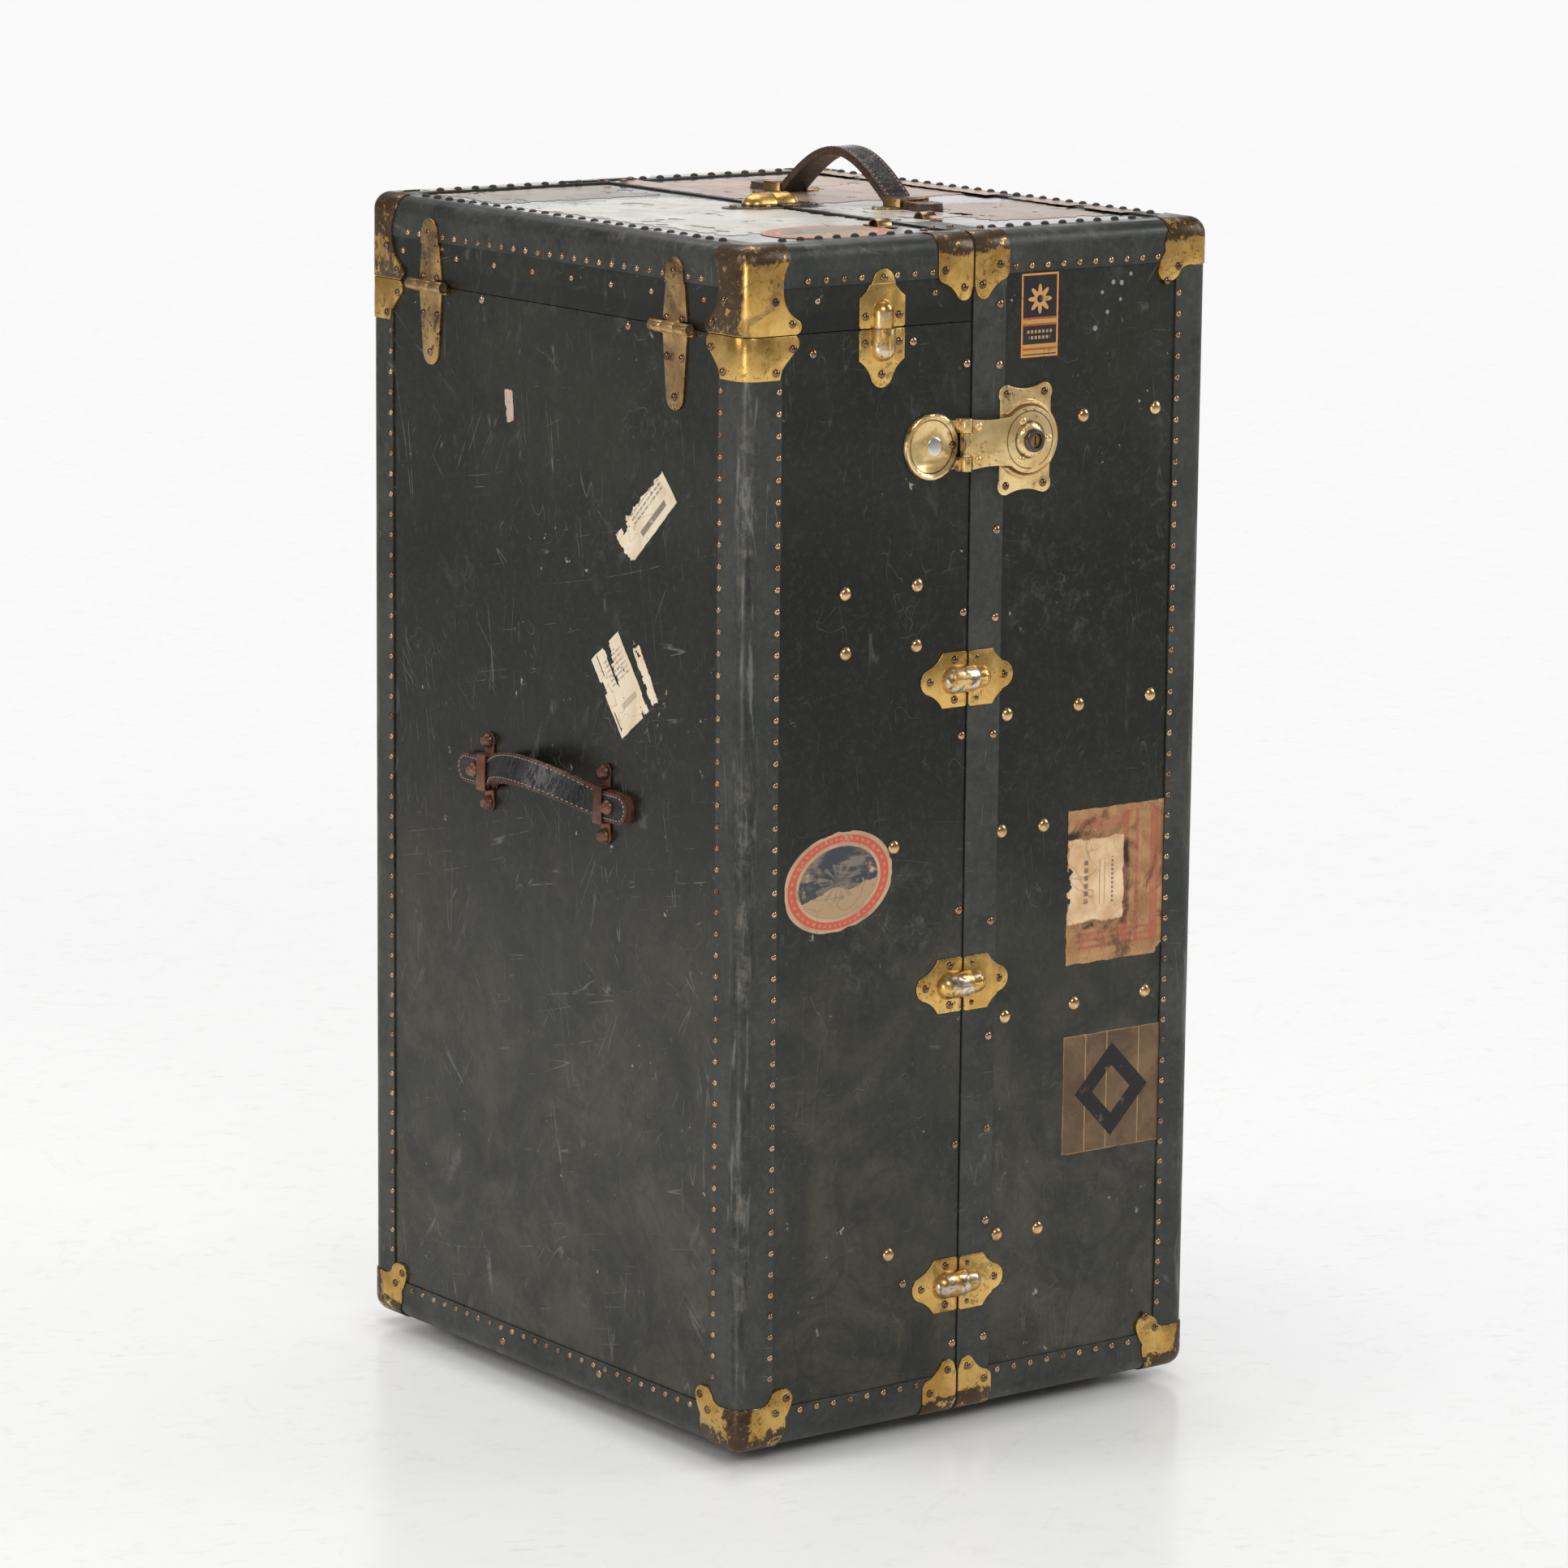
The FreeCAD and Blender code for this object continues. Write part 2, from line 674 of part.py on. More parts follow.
outer_rooms, inner_rooms = barrel_parts(d.main_hinge_length, 3)
main_heights = three_heights(d.main_hinge_low, d.main_hinge_drop)
on_band = upright_box(-roomy, roomy, 0, d.band_width + clear + d.steel)
half_leaf = hinge_leaf(main_leaf_steps(1), 1, inner_rooms, on_band)
fixed_leaf = hinge_leaf(main_leaf_steps(-1), -1, outer_rooms)
feature("main_hinge_drawer_leaves", [seated(at_back(half_leaf, h)) for h in main_heights])
feature("main_hinge_wardrobe_leaves", [seated(at_back(fixed_leaf, h)) for h in main_heights])
highest = "trunk_height - main_hinge_drop"
pins("main_hinge_pins", "main_hinge_length", [
    ("wardrobe_width", "trunk_depth + barrel_radius", height + " - main_hinge_length / 2")
    for height in ("main_hinge_low", "(main_hinge_low + %s) / 2" % highest, highest)], Z)


# ---------------------------------------------------------------- hasp lock
# Drawn on the front from the hasp's pin: U to the right, V up. The pin stands upright.
pin_line = d.barrel_radius
half_barrel = d.hasp_barrel / 2
knuckle_third = half_barrel / 2.2


def upright_knuckle(low, high, side, web_back, web_front):
    """A knuckle of the hasp's barrel and its web towards U = side."""
    width = root + 0.6
    web = box((width, high - low, web_front - web_back), (0 if side > 0 else -width, low, web_back))
    return rod(d.barrel_radius, high - low, (0, low, pin_line), Y).fuse(web)


hasp_bore = rod(d.pin_radius + d.running_gap, 2 * d.hasp_barrel, (0, -d.hasp_barrel, pin_line), Y)


def hasp_plate():
    """Round plate with a broad rolled rim on the hanging half, its neck ending in two knuckles."""
    radius, brass = d.hasp_plate_radius, d.brass
    width, height = d.hasp_rim_width, d.hasp_rim_height
    centre = d.hasp_plate_place - d.hasp_pivot
    neck = d.hasp_half_width - 0.5
    disc = turned([(0, 0), (radius, 0), (radius, brass), (0, brass)], centre, low_face)
    rim = turned([(radius - width, 0), (radius, 0), (radius, 0.4 * height),
                  (radius - 0.2 * width, 0.85 * height), (radius - 0.5 * width, height),
                  (radius - width, brass)], centre, low_face)
    rim = rim.cut(box((radius, 2 * neck, height), (centre, -neck, low_face)))
    button = rod(d.hasp_button_radius, brass + 1, (centre, 0, low_face), Z)
    neck_plate = box((-root - centre, 2 * neck, brass), (centre, -neck, low_face))
    inner_end = knuckle_third + d.knuckle_gap / 2
    knuckles = [upright_knuckle(low, low + half_barrel - inner_end, -1, low_face, pin_line - brass)
                for low in (inner_end, -half_barrel)]
    return disc.fuse([rim, button, neck_plate] + knuckles).cut(hasp_bore)


def hasp_flap():
    """Waisted strap from the barrel to a round hub with a collar, in front of the lock base."""
    back, front = d.flap_back, d.flap_back + d.flap_thickness
    half, waist = d.hasp_half_width, d.hasp_half_width - d.hasp_waist
    end = hub_at - 0.65 * d.hub_radius
    steps = [(root, -half), ((0.6 * end, -waist), (end, -half)),
             (end, half), ((0.6 * end, waist), (root, half))]
    strap = prism(steps, back, front)
    disc = rod(d.hub_radius, d.flap_thickness, (hub_at, 0, back), Z)
    height, wide, narrow = d.collar_height, d.collar_radius, d.collar_top_radius
    collar = turned([(0, 0), (wide, 0), (0.7 * wide + 0.3 * narrow, 0.65 * height), (narrow, height),
                     (0, height)], hub_at, front)
    third = knuckle_third - d.knuckle_gap / 2
    middle = upright_knuckle(-third, third, 1, back, front)
    flap = strap.fuse([disc, collar, middle])
    seat = rod(d.plug_radius + d.plug_gap, roomy, (hub_at, 0, front - 1), Z)
    return flap.cut(hasp_bore).cut(seat)


def lock_base():
    """Plate with four scalloped ears and a raised ring round the flap's hub, open for its strap."""
    half, tall, height = d.lock_half_width, d.lock_half_height, d.flap_back - d.ring_under_flap - low_face
    ear = half - 9
    steps = [
        (-half, 12 - tall), ((-half + 2, 1 - tall), (-ear, -tall)), ((0, 3.5 - tall), (ear, -tall)),
        ((half - 2, 1 - tall), (half, 12 - tall)), (half, tall - 12), ((half - 2, tall - 1), (ear, tall)),
        ((0, tall - 3.5), (-ear, tall)), ((2 - half, tall - 1), (-half, tall - 12))]
    plate = prism(steps, low_face, d.brass)
    outer, inner = d.ring_radius, d.hub_radius + d.ring_gap
    soft = (outer - inner) / 3
    ring = turned([(inner, 0), (outer, 0), (outer, 0.6 * height), (outer - soft, height),
                   (inner + soft, height), (inner, height - soft)], 0, low_face)
    strap_side = d.hasp_half_width + d.ring_gap
    return plate.fuse(ring.cut(upright_box(-roomy, 0, -strap_side, strap_side)))


def on_lock(shape, x):
    return on_front(shape, x, lock_height)


hub_at = d.hub_place - d.hasp_pivot
feature("hasp_plate", [seated(on_lock(hasp_plate(), d.hasp_pivot))])
feature("hasp_flap", [on_lock(hasp_flap(), d.hasp_pivot)])
feature("lock_base", [seated(on_lock(lock_base(), d.hub_place))])
pins("hasp_pin", "hasp_barrel", [("hasp_pivot", "-barrel_radius", lock_line + " - hasp_barrel / 2")], Z)

# the housing stands on the flap's collar; the plug's face lies a little below the housing's
head_foot = ("hub_place", "-(flap_back + flap_thickness + collar_height)", lock_line)
head = cylinder("lock_head", "barrel_head_radius", "barrel_head_height", head_foot, -Y)
doc.recompute()
front_edge = min(range(1, 4), key=lambda number: head.Shape.Edges[number - 1].BoundBox.YMax)
soft_head = doc.addObject("Part::Chamfer", "soft_lock_head")
soft_head.Base = head
soft_head.Edges = [(front_edge, d.barrel_head_chamfer, d.barrel_head_chamfer)]
plug_bore = cylinder("plug_bore", "plug_radius + plug_gap", "barrel_head_height", head_foot, -Y)
finish(pair("Cut", "lock_housing", soft_head, plug_bore), "lock_housing")
plug_length = "collar_height + barrel_head_height - plug_recess"
turning = cylinder("plug_turning", "plug_radius", plug_length,
                   ("hub_place", "-(flap_back + flap_thickness)", lock_line), -Y)
keyway = block("keyway", ("keyway_width", "keyway_depth", "1.4 * plug_radius"),
               ("hub_place - keyway_width / 2", "-(flap_back + flap_thickness + %s)" % plug_length,
                lock_line + " - 0.7 * plug_radius"))
finish(pair("Cut", "lock_plug", turning, keyway), "lock_plug")


# ---------------------------------------------------------------- leather handles
def strap_section(thick, u, v, w, slope, lean):
    """Rectangle across a handle's leather, square to its run and leaning by `lean` degrees."""
    half = d.strap_width / 2
    wire = Part.makePolygon([Vector(0, -half, 0), Vector(0, half, 0), Vector(0, half, thick),
                             Vector(0, -half, thick), Vector(0, -half, 0)])
    wire.rotate(Vector(0, 0, 0), Y, -slope)
    wire.rotate(Vector(0, 0, 0), X, -lean)
    wire.translate(Vector(u, v, w))
    return wire


def handle_leather(thick, span, tab, out, lift):
    """Flat ends under the loops and an arch between them, bulging outwards and, if stiff, upwards."""
    flat = span / 2 - 10
    stations = [-1, -0.93, -0.75, -0.5, -0.25, 0, 0.25, 0.5, 0.75, 0.93, 1]
    wires = []
    for place in stations:
        rise = math.cos(place * math.pi / 2)
        at_end = abs(place) == 1
        slope = 0 if at_end else math.degrees(math.atan(
            out * math.sin(place * math.pi / 2) * math.pi / 2 / flat))
        wires.append(strap_section(thick, place * flat, lift * rise, (out - thick) * rise, slope,
                                   lift * rise * 1.5))
    arch = Part.makeLoft(wires, True, False)
    half = d.strap_width / 2
    stop = span / 2 + tab - half
    end = prism([(flat - 0.01, -half), (stop, -half), ((stop + half, 0), (stop, half)), (flat - 0.01, half)],
                0, thick)
    return arch.fuse([end, end.mirror(Vector(0, 0, 0), X)])


def handle_loop(width, thick):
    """Bent steel or brass bridge over the leather, with a round foot on each side."""
    inner, high, sheet_metal = d.strap_width / 2 + d.loop_room, thick + d.loop_room, d.steel
    outer, top = inner + sheet_metal, high + sheet_metal
    points = [(-d.bolt_spread, 0), (-d.bolt_spread, sheet_metal), (-outer, sheet_metal), (-outer, top),
              (outer, top), (outer, sheet_metal), (d.bolt_spread, sheet_metal), (d.bolt_spread, 0),
              (inner, 0), (inner, high), (-inner, high), (-inner, 0), (-d.bolt_spread, 0)]
    bridge = Part.Face(Part.makePolygon([Vector(-width / 2, v, w) for v, w in points]))
    bridge = bridge.extrude(Vector(width, 0, 0))
    feet = [rod(d.bolt_radius + 1, sheet_metal, (0, side * d.bolt_spread, 0), Z) for side in (-1, 1)]
    return bridge.fuse(feet)


def bolt_head(height, base):
    """Round head of a handle's bolt."""
    radius = d.bolt_radius
    profile = [(0, 0), (radius, 0), (radius, 0.35 * height), (0.55 * radius, height), (0, height)]
    return turned(profile).translated(Vector(*base))


def side_handle(where):
    """Leather, loops and bolts of one side handle, placed by `where` on the panel."""
    half, thick = d.side_handle_span / 2, d.side_strap
    leather = handle_leather(thick, d.side_handle_span, d.side_handle_tab, d.side_handle_out,
                             d.side_handle_lift)
    loop = handle_loop(d.side_loop_width, thick)
    loops = [loop.translated(Vector(side * half, 0, 0)) for side in (-1, 1)]
    bolts = [bolt_head(d.bolt_height, (side * half, up * d.bolt_spread, d.steel))
             for side in (-1, 1) for up in (-1, 1)]
    stop_place = half + d.side_loop_width / 2 + d.bolt_radius + 1
    bolts += [bolt_head(d.bolt_height - 1, (side * stop_place, 0, thick)) for side in (-1, 1)]
    return [[where(shape.translated(Vector(0, 0, low_face))) for shape in group]
            for group in ([leather], loops, bolts)]


def left_place(shape):
    return on_left(shape, d.side_handle_place, d.side_handle_height)


def right_place(shape):
    return on_right(shape, d.side_handle_place, d.side_handle_height)


for side_name, where in (("left", left_place), ("right", right_place)):
    for part_name, solids in zip(("leather", "loops", "bolts"), side_handle(where)):
        feature("%s_handle_%s" % (side_name, part_name), solids)


def top_place(shape):
    """The top handle's U runs from front to back."""
    low = shape.translated(Vector(0, 0, low_face))
    return placed(low, Vector(d.top_handle_x, d.top_handle_y, d.trunk_height), Y, -X)


feature("top_handle_leather", [
    top_place(handle_leather(d.top_strap, d.top_handle_span, d.top_handle_tab, d.top_handle_out, 0))])
top_loop = handle_loop(d.top_loop_width, d.top_strap)
feature("top_handle_loops", [
    top_place(top_loop.translated(Vector(side * d.top_handle_span / 2, 0, 0))) for side in (-1, 1)])


# ---------------------------------------------------------------- staples on the top
def staple():
    """Strip bent to a half tube with two flat feet."""
    radius, width = d.staple_radius, d.staple_width
    arch = rod(radius, width, (-width / 2, 0, 0), X).cut(rod(radius - d.fibre, width, (-width / 2, 0, 0), X))
    arch = arch.common(box((2 * roomy, 2 * roomy, roomy), (-roomy, -roomy, 0)))
    foot = box((width, d.staple_foot, d.fibre), (-width / 2, radius - d.fibre / 2, 0))
    return arch.fuse([foot, foot.mirror(Vector(0, 0, 0), Y)])


low_staple = staple().translated(Vector(0, 0, low_face))
feature("lid_staple", [seated(on_top(low_staple, d.lid_staple_x, d.lid_staple_y))])
feature("drawer_half_staple", [seated(on_top(low_staple, d.half_staple_x, d.half_staple_y))])


# ---------------------------------------------------------------- runners under the trunk
def runner(name, left_edge):
    """Hardwood strip on edge along the depth, up to the bottom panel, with its ground edges broken."""
    strip = block(name + "_strip",
                  ("runner_width", "trunk_depth - 2 * runner_inset", "runner_height + fibre"),
                  (left_edge, "runner_inset", "-runner_height"))
    doc.recompute()
    ground_edges = [number for number, edge in enumerate(strip.Shape.Edges, start=1)
                    if abs(edge.BoundBox.ZMax + d.runner_height) < 0.01]
    chamfered = doc.addObject("Part::Chamfer", name)
    chamfered.Base = strip
    chamfered.Edges = [(number, d.runner_chamfer, d.runner_chamfer) for number in ground_edges]
    return chamfered


fixed_runners = several("MultiFuse", "fixed_runners", [
    runner("outer_fixed_runner", "runner_inset"),
    runner("inner_fixed_runner", "wardrobe_width - runner_from_split - runner_width")])
swing_runners = several("MultiFuse", "swing_runners", [
    runner("inner_swing_runner", "wardrobe_width + runner_from_split"),
    runner("outer_swing_runner", "trunk_width - runner_inset - runner_width")])
finish(fixed_runners, "wardrobe_runners")
band_under = block("band_under", ("band_width", "trunk_depth", "fibre"), (right_of_split, "0", "0"))
finish(pair("Cut", "drawer_half_runners", swing_runners, band_under), "drawer_half_runners")


# ---------------------------------------------------------------- closing strip
wall_in = "(fibre + ply)"  # from the trunk's faces to the inside of its walls


def u_strip(name, x_low, width, gap):
    """Three-sided strip inside the front, bottom and back walls of the hanging half, `gap` off them."""
    off = "(%s + %s)" % (wall_in, gap)
    room = "(%s + tongue_strip)" % wall_in
    outer = block(name + "_outer",
                  (width, "trunk_depth - 2 * " + off, "%s - %s" % (under_seam, off)), (x_low, off, off))
    inner = block(name + "_inner",
                  (width, "trunk_depth - 2 * " + room, under_seam), (x_low, room, room))
    return pair("Cut", name, outer, inner)


held_strip = u_strip("held_strip", left_of_split + " - tongue_strip_inside", "tongue_strip_inside", "0")
free_strip = u_strip("free_strip", left_of_split, "tongue_strip_out", "tongue_clear")
finish(pair("Fuse", "closing_strip", held_strip, free_strip), "closing_strip")

# ---------------------------------------------------------------- hanger rails, trolley and hangers
middle_line = "trunk_depth / 2"
rail_lines = (middle_line + " - rod_spread", middle_line + " + rod_spread")
rail_stop = "(%s - rod_end_room)" % left_of_split
wall_plate = block(
    "rail_wall_plate", ("rod_plate", "2 * rod_plate_half_width", "2 * rod_plate_half_height"),
    (wall_in, middle_line + " - rod_plate_half_width", rail_line + " - rod_plate_half_height"))
rails = [cylinder("rail_%d" % number, "rod_radius", rail_stop + " - " + wall_in,
                  (wall_in, line, rail_line), X)
         for number, line in enumerate(rail_lines, start=1)]
finish(several("MultiFuse", "hanger_rails", [wall_plate] + rails), "hanger_rails")

bar_top_line = "(%s - block_half_height)" % rail_line
bar_low_line = "(%s - hang_bar_depth)" % bar_top_line
stop_start = "(%s - 2 * rod_end_room - end_stop_length)" % rail_stop
sliding = block(
    "slide_block", ("block_length", "2 * block_half_width", "2 * block_half_height"),
    ("block_start", middle_line + " - block_half_width", bar_top_line))
block_bores = several("MultiFuse", "block_bores", [
    cylinder("block_bore_%d" % number, "rod_radius + rod_gap", "block_length",
             ("block_start", line, rail_line), X)
    for number, line in enumerate(rail_lines, start=1)])
hang_bar = block(
    "hang_bar", (stop_start + " - block_start", "hang_bar_thickness", "hang_bar_depth"),
    ("block_start", middle_line + " - hang_bar_thickness / 2", bar_low_line))
end_stop = block(
    "end_stop", ("end_stop_length", "2 * end_stop_half_width", "hang_bar_depth"),
    (stop_start, middle_line + " - end_stop_half_width", bar_low_line))
bored_block = pair("Cut", "bored_block", sliding, block_bores)
finish(several("MultiFuse", "hanger_trolley", [bored_block, hang_bar, end_stop]), "hanger_trolley")

mid_depth = d.trunk_depth / 2
bar_top = lid_seam - d.rod_drop - d.block_half_height
bar_low = bar_top - d.hang_bar_depth


def hanger(x):
    """Flat wooden hanger: arched shoulders under a neck that is slotted over the bar."""
    neck, span, slot = d.hanger_neck, d.hanger_half_span, d.hang_bar_thickness / 2 + d.hanger_slot_room
    neck_top = bar_top + 5
    shoulder = bar_low - 4
    tip = shoulder - d.hanger_shoulder
    right_side = [((span * 0.55, shoulder - 5), (span - 8, tip + 4)), ((span, tip - 4), (span - 9, tip - 10))]
    under = ((0, shoulder - d.hanger_depth + 4), (9 - span, tip - 10))
    left_side = [((-span, tip - 4), (8 - span, tip + 4)), ((-span * 0.55, shoulder - 5), (-neck, shoulder))]
    steps = [(-neck, neck_top), (neck, neck_top), (neck, shoulder)] + right_side + [under] + left_side
    body = prism(steps, 0, d.hanger_thickness)
    window = box((2 * slot, d.hang_bar_depth + 1, d.hanger_thickness),
                 (-slot, bar_low - 0.7, 0))
    return placed(body.cut(window), Vector(x, mid_depth, 0), Y, Z)


first_hanger = d.block_start + d.block_length + (d.hanger_pitch - d.hanger_thickness) / 2
feature("hangers", [hanger(first_hanger + n * d.hanger_pitch) for n in range(int(d.hanger_count))])

# ---------------------------------------------------------------- drawer carcass
carcass_front = right_of_split + " + carcass_setback"
carcass_depth = "trunk_width - %s - (%s)" % (wall_in, carcass_front)
side_in = "fibre + ply + carcass_board"
inner_width = "trunk_depth - 2 * (" + side_in + ")"
shelves = ("deep_bay", "(deep_bay + trunk_height - top_bay) / 2", "trunk_height - top_bay")
floors = [side_in] + [shelf + " + carcass_board / 2" for shelf in shelves]
ceilings = [shelf + " - carcass_board / 2" for shelf in shelves] + ["trunk_height - (" + side_in + ")"]

carcass_outer = block(
    "carcass_outer",
    (carcass_depth, "trunk_depth - 2 * " + wall_in, "trunk_height - 2 * " + wall_in),
    (carcass_front, wall_in, wall_in))
bays = several("MultiFuse", "bays", [
    block("bay_%d" % number,
          (carcass_depth + " - carcass_board / 2", inner_width, "(%s) - (%s)" % (ceiling, floor)),
          (carcass_front, side_in, floor))
    for number, (floor, ceiling) in enumerate(zip(floors, ceilings), start=1)])
finish(pair("Cut", "drawer_carcass", carcass_outer, bays), "drawer_carcass")

# the two bays between the shelves hold two drawers each, the upper one on slide strips
drawer_depth = carcass_depth + " - carcass_board / 2 - drawer_setback - drawer_gap_behind"
strips = []
stacks = [(floors[0], ceilings[0])]
for number in (1, 2):
    middle = "((%s) + (%s)) / 2" % (floors[number], ceilings[number])
    strip_low = middle + " - slide_strip_height / 2"
    stacks += [(floors[number], strip_low), (middle + " + slide_strip_height / 2", ceilings[number])]
    for side, edge in (("front", side_in), ("back", "trunk_depth - (" + side_in + ") - slide_strip_width")):
        strips.append(block(
            "slide_%s_%d" % (side, number),
            (carcass_depth + " - carcass_board / 2 - carcass_setback", "slide_strip_width",
             "slide_strip_height"),
            (carcass_front + " + carcass_setback", edge, strip_low)))
finish(several("MultiFuse", "drawer_slides", strips), "drawer_slides")


# ---------------------------------------------------------------- drawers
def drawer(number, low, high):
    """Plywood tray open at the top; its front is thicker and carries a leather pull."""
    name = "drawer_%d" % number
    front = carcass_front + " + drawer_setback"
    floor = low + " + drawer_seat"
    tall = "(%s) - (%s) - drawer_seat - drawer_top_room" % (high, low)
    outer = block(name + "_outer", (drawer_depth, inner_width + " - 2 * drawer_gap", tall),
                  (front, side_in + " + drawer_gap", floor))
    inner = block(name + "_inner",
                  (drawer_depth + " - drawer_front - drawer_side",
                   inner_width + " - 2 * drawer_gap - 2 * drawer_side", tall),
                  (front + " + drawer_front", side_in + " + drawer_gap + drawer_side",
                   floor + " + drawer_bottom"))
    finish(pair("Cut", name, outer, inner), name)
    doc.recompute()
    return outer.Shape.BoundBox


def pull_loop(bounds):
    """Folded leather loop on a drawer's front."""
    half, thick, out = d.pull_width / 2, d.pull_thickness, d.pull_out
    tab = half + 14
    middle = (bounds.ZMin + bounds.ZMax) / 2
    points = [(-tab, 0), (-tab, thick), (-half, thick), (-half + 12, out), (half - 12, out), (half, thick),
              (tab, thick), (tab, 0), (half, 0), (half - 12, out - thick), (-half + 12, out - thick),
              (-half, 0), (-tab, 0)]
    profile = Part.Face(Part.makePolygon([Vector(u, -d.pull_height / 2, w) for u, w in points]))
    loop = profile.extrude(Vector(0, d.pull_height, 0))
    return placed(loop, Vector(bounds.XMin, mid_depth, middle), -Y, Z)


for number, (low, high) in enumerate(stacks, start=1):
    tray = drawer(number, low, high)
    feature("drawer_%d_pull" % number, [pull_loop(tray)])

# ---------------------------------------------------------------- check and write
doc.recompute()
broken = [obj.Label for obj in doc.Objects if {"Invalid", "Error"} & set(obj.State)]
broken += [obj.Label for obj in finished if obj.Shape.isNull() or not obj.Shape.isValid()]
if broken:
    raise RuntimeError("pieces that failed: " + ", ".join(broken))

os.makedirs("parts", exist_ok=True)
for obj in finished:
    obj.Shape.exportStep("parts/%s.step" % obj.Label)
print(len(finished), "sub-parts,", sum(len(obj.Shape.Solids) for obj in finished), "solids")
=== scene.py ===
import json
import math

import bpy
from mathutils import Matrix, Vector, noise

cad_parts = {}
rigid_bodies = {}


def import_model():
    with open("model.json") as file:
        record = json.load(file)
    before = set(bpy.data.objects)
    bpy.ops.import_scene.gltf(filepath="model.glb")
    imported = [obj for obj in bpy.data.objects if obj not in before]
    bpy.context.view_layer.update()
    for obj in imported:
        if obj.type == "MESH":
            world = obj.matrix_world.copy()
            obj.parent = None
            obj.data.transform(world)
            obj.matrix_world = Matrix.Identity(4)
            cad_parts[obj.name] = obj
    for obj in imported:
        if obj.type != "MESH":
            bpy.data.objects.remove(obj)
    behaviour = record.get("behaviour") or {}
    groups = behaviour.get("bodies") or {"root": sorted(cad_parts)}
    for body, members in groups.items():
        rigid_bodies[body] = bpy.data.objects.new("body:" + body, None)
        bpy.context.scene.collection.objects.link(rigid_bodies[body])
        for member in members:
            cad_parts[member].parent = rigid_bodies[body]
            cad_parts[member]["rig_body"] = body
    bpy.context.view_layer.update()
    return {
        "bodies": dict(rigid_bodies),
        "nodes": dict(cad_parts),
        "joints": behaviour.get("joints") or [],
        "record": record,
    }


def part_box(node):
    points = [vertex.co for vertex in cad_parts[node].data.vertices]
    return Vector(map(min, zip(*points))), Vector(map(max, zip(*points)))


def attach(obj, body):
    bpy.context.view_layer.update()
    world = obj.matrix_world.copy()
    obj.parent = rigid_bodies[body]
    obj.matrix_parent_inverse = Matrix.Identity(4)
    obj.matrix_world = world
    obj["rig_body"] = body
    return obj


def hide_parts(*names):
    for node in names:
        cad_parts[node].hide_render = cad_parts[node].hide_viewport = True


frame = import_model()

nodes = frame["nodes"]
mm = 0.001
print("frame loaded:", len(nodes), "nodes")

# the trunk's outer faces, read from its bindings
left, front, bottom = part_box("wardrobe_binding")[0]
right, back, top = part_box("drawer_half_binding")[1]
fibre = (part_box("wardrobe_shell")[0][0] - left) / mm  # how far the panels lie below the bindings
wide, deep, high = (right - left) / mm, (back - front) / mm, (top - bottom) / mm
seam = (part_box("lid_shell")[0][2] - bottom) / mm
split = (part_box("split_band")[0][0] - left) / mm


# camera, floor and light

camera = {
    "place": (-3.1555, -4.2477, 1.5335),
    "turn": (79.095, -0.573, -36.552),  # degrees
    "lens": 140.62,
}

studio = {
    "floorSize": 120,
    "paper": (0.89, 0.89, 0.88),
    "farPaper": (0.955, 0.955, 0.955),
    "wornPaper": (0.52, 0.50, 0.47),
    "wornFarPaper": (0.70, 0.69, 0.67),
    "wear": {"scuffs": 0.10, "smudge": 0.18, "grit": 0.38},
    "litReach": (0.9, 3.2),  # metres from the trunk where the lit paper fades into the bright far one
    "nearGlow": 0.52,  # how much of the near paper glows by itself for the camera
    "contact": (0.30, 0.47),  # less so this near, in metres, to the middle of the trunk's shadow
    "contactMiddle": (0.17, -0.09),
    "contactGlow": 0.24,
    "skirt": 0.045,  # metres round the trunk over which the paper comes out of the dark under it
    "world": 0.40,
    "worldInGloss": 0.16,
    "lamps": [  # place, aim, size, watts, colour
        ((-3.4, 0.9, 2.2), (0, 0, 0.4), (2.2, 1.6), 40, (1.0, 0.98, 0.95)),
        ((-1.2, -3.6, 2.9), (0, 0, 0.6), (1.8, 1.4), 46, (1.0, 1.0, 1.0)),
        ((3.0, -1.8, 2.4), (0, 0, 0.6), (1.4, 2.0), 40, (0.96, 0.98, 1.0)),
        ((0.3, 0.8, 3.2), (0, 0, 0.9), (2.4, 2.4), 40, (1.0, 1.0, 1.0)),
        ((4.2, 5.6, 1.7), (0, 0, 1.0), (9.0, 3.0), 90, (1.0, 1.0, 1.0)),
        ((-3.3, -1.75, 0.6), (0, 0, 0.6), (0.30, 1.1), 12, (1.0, 0.99, 0.97)),
    ],
}


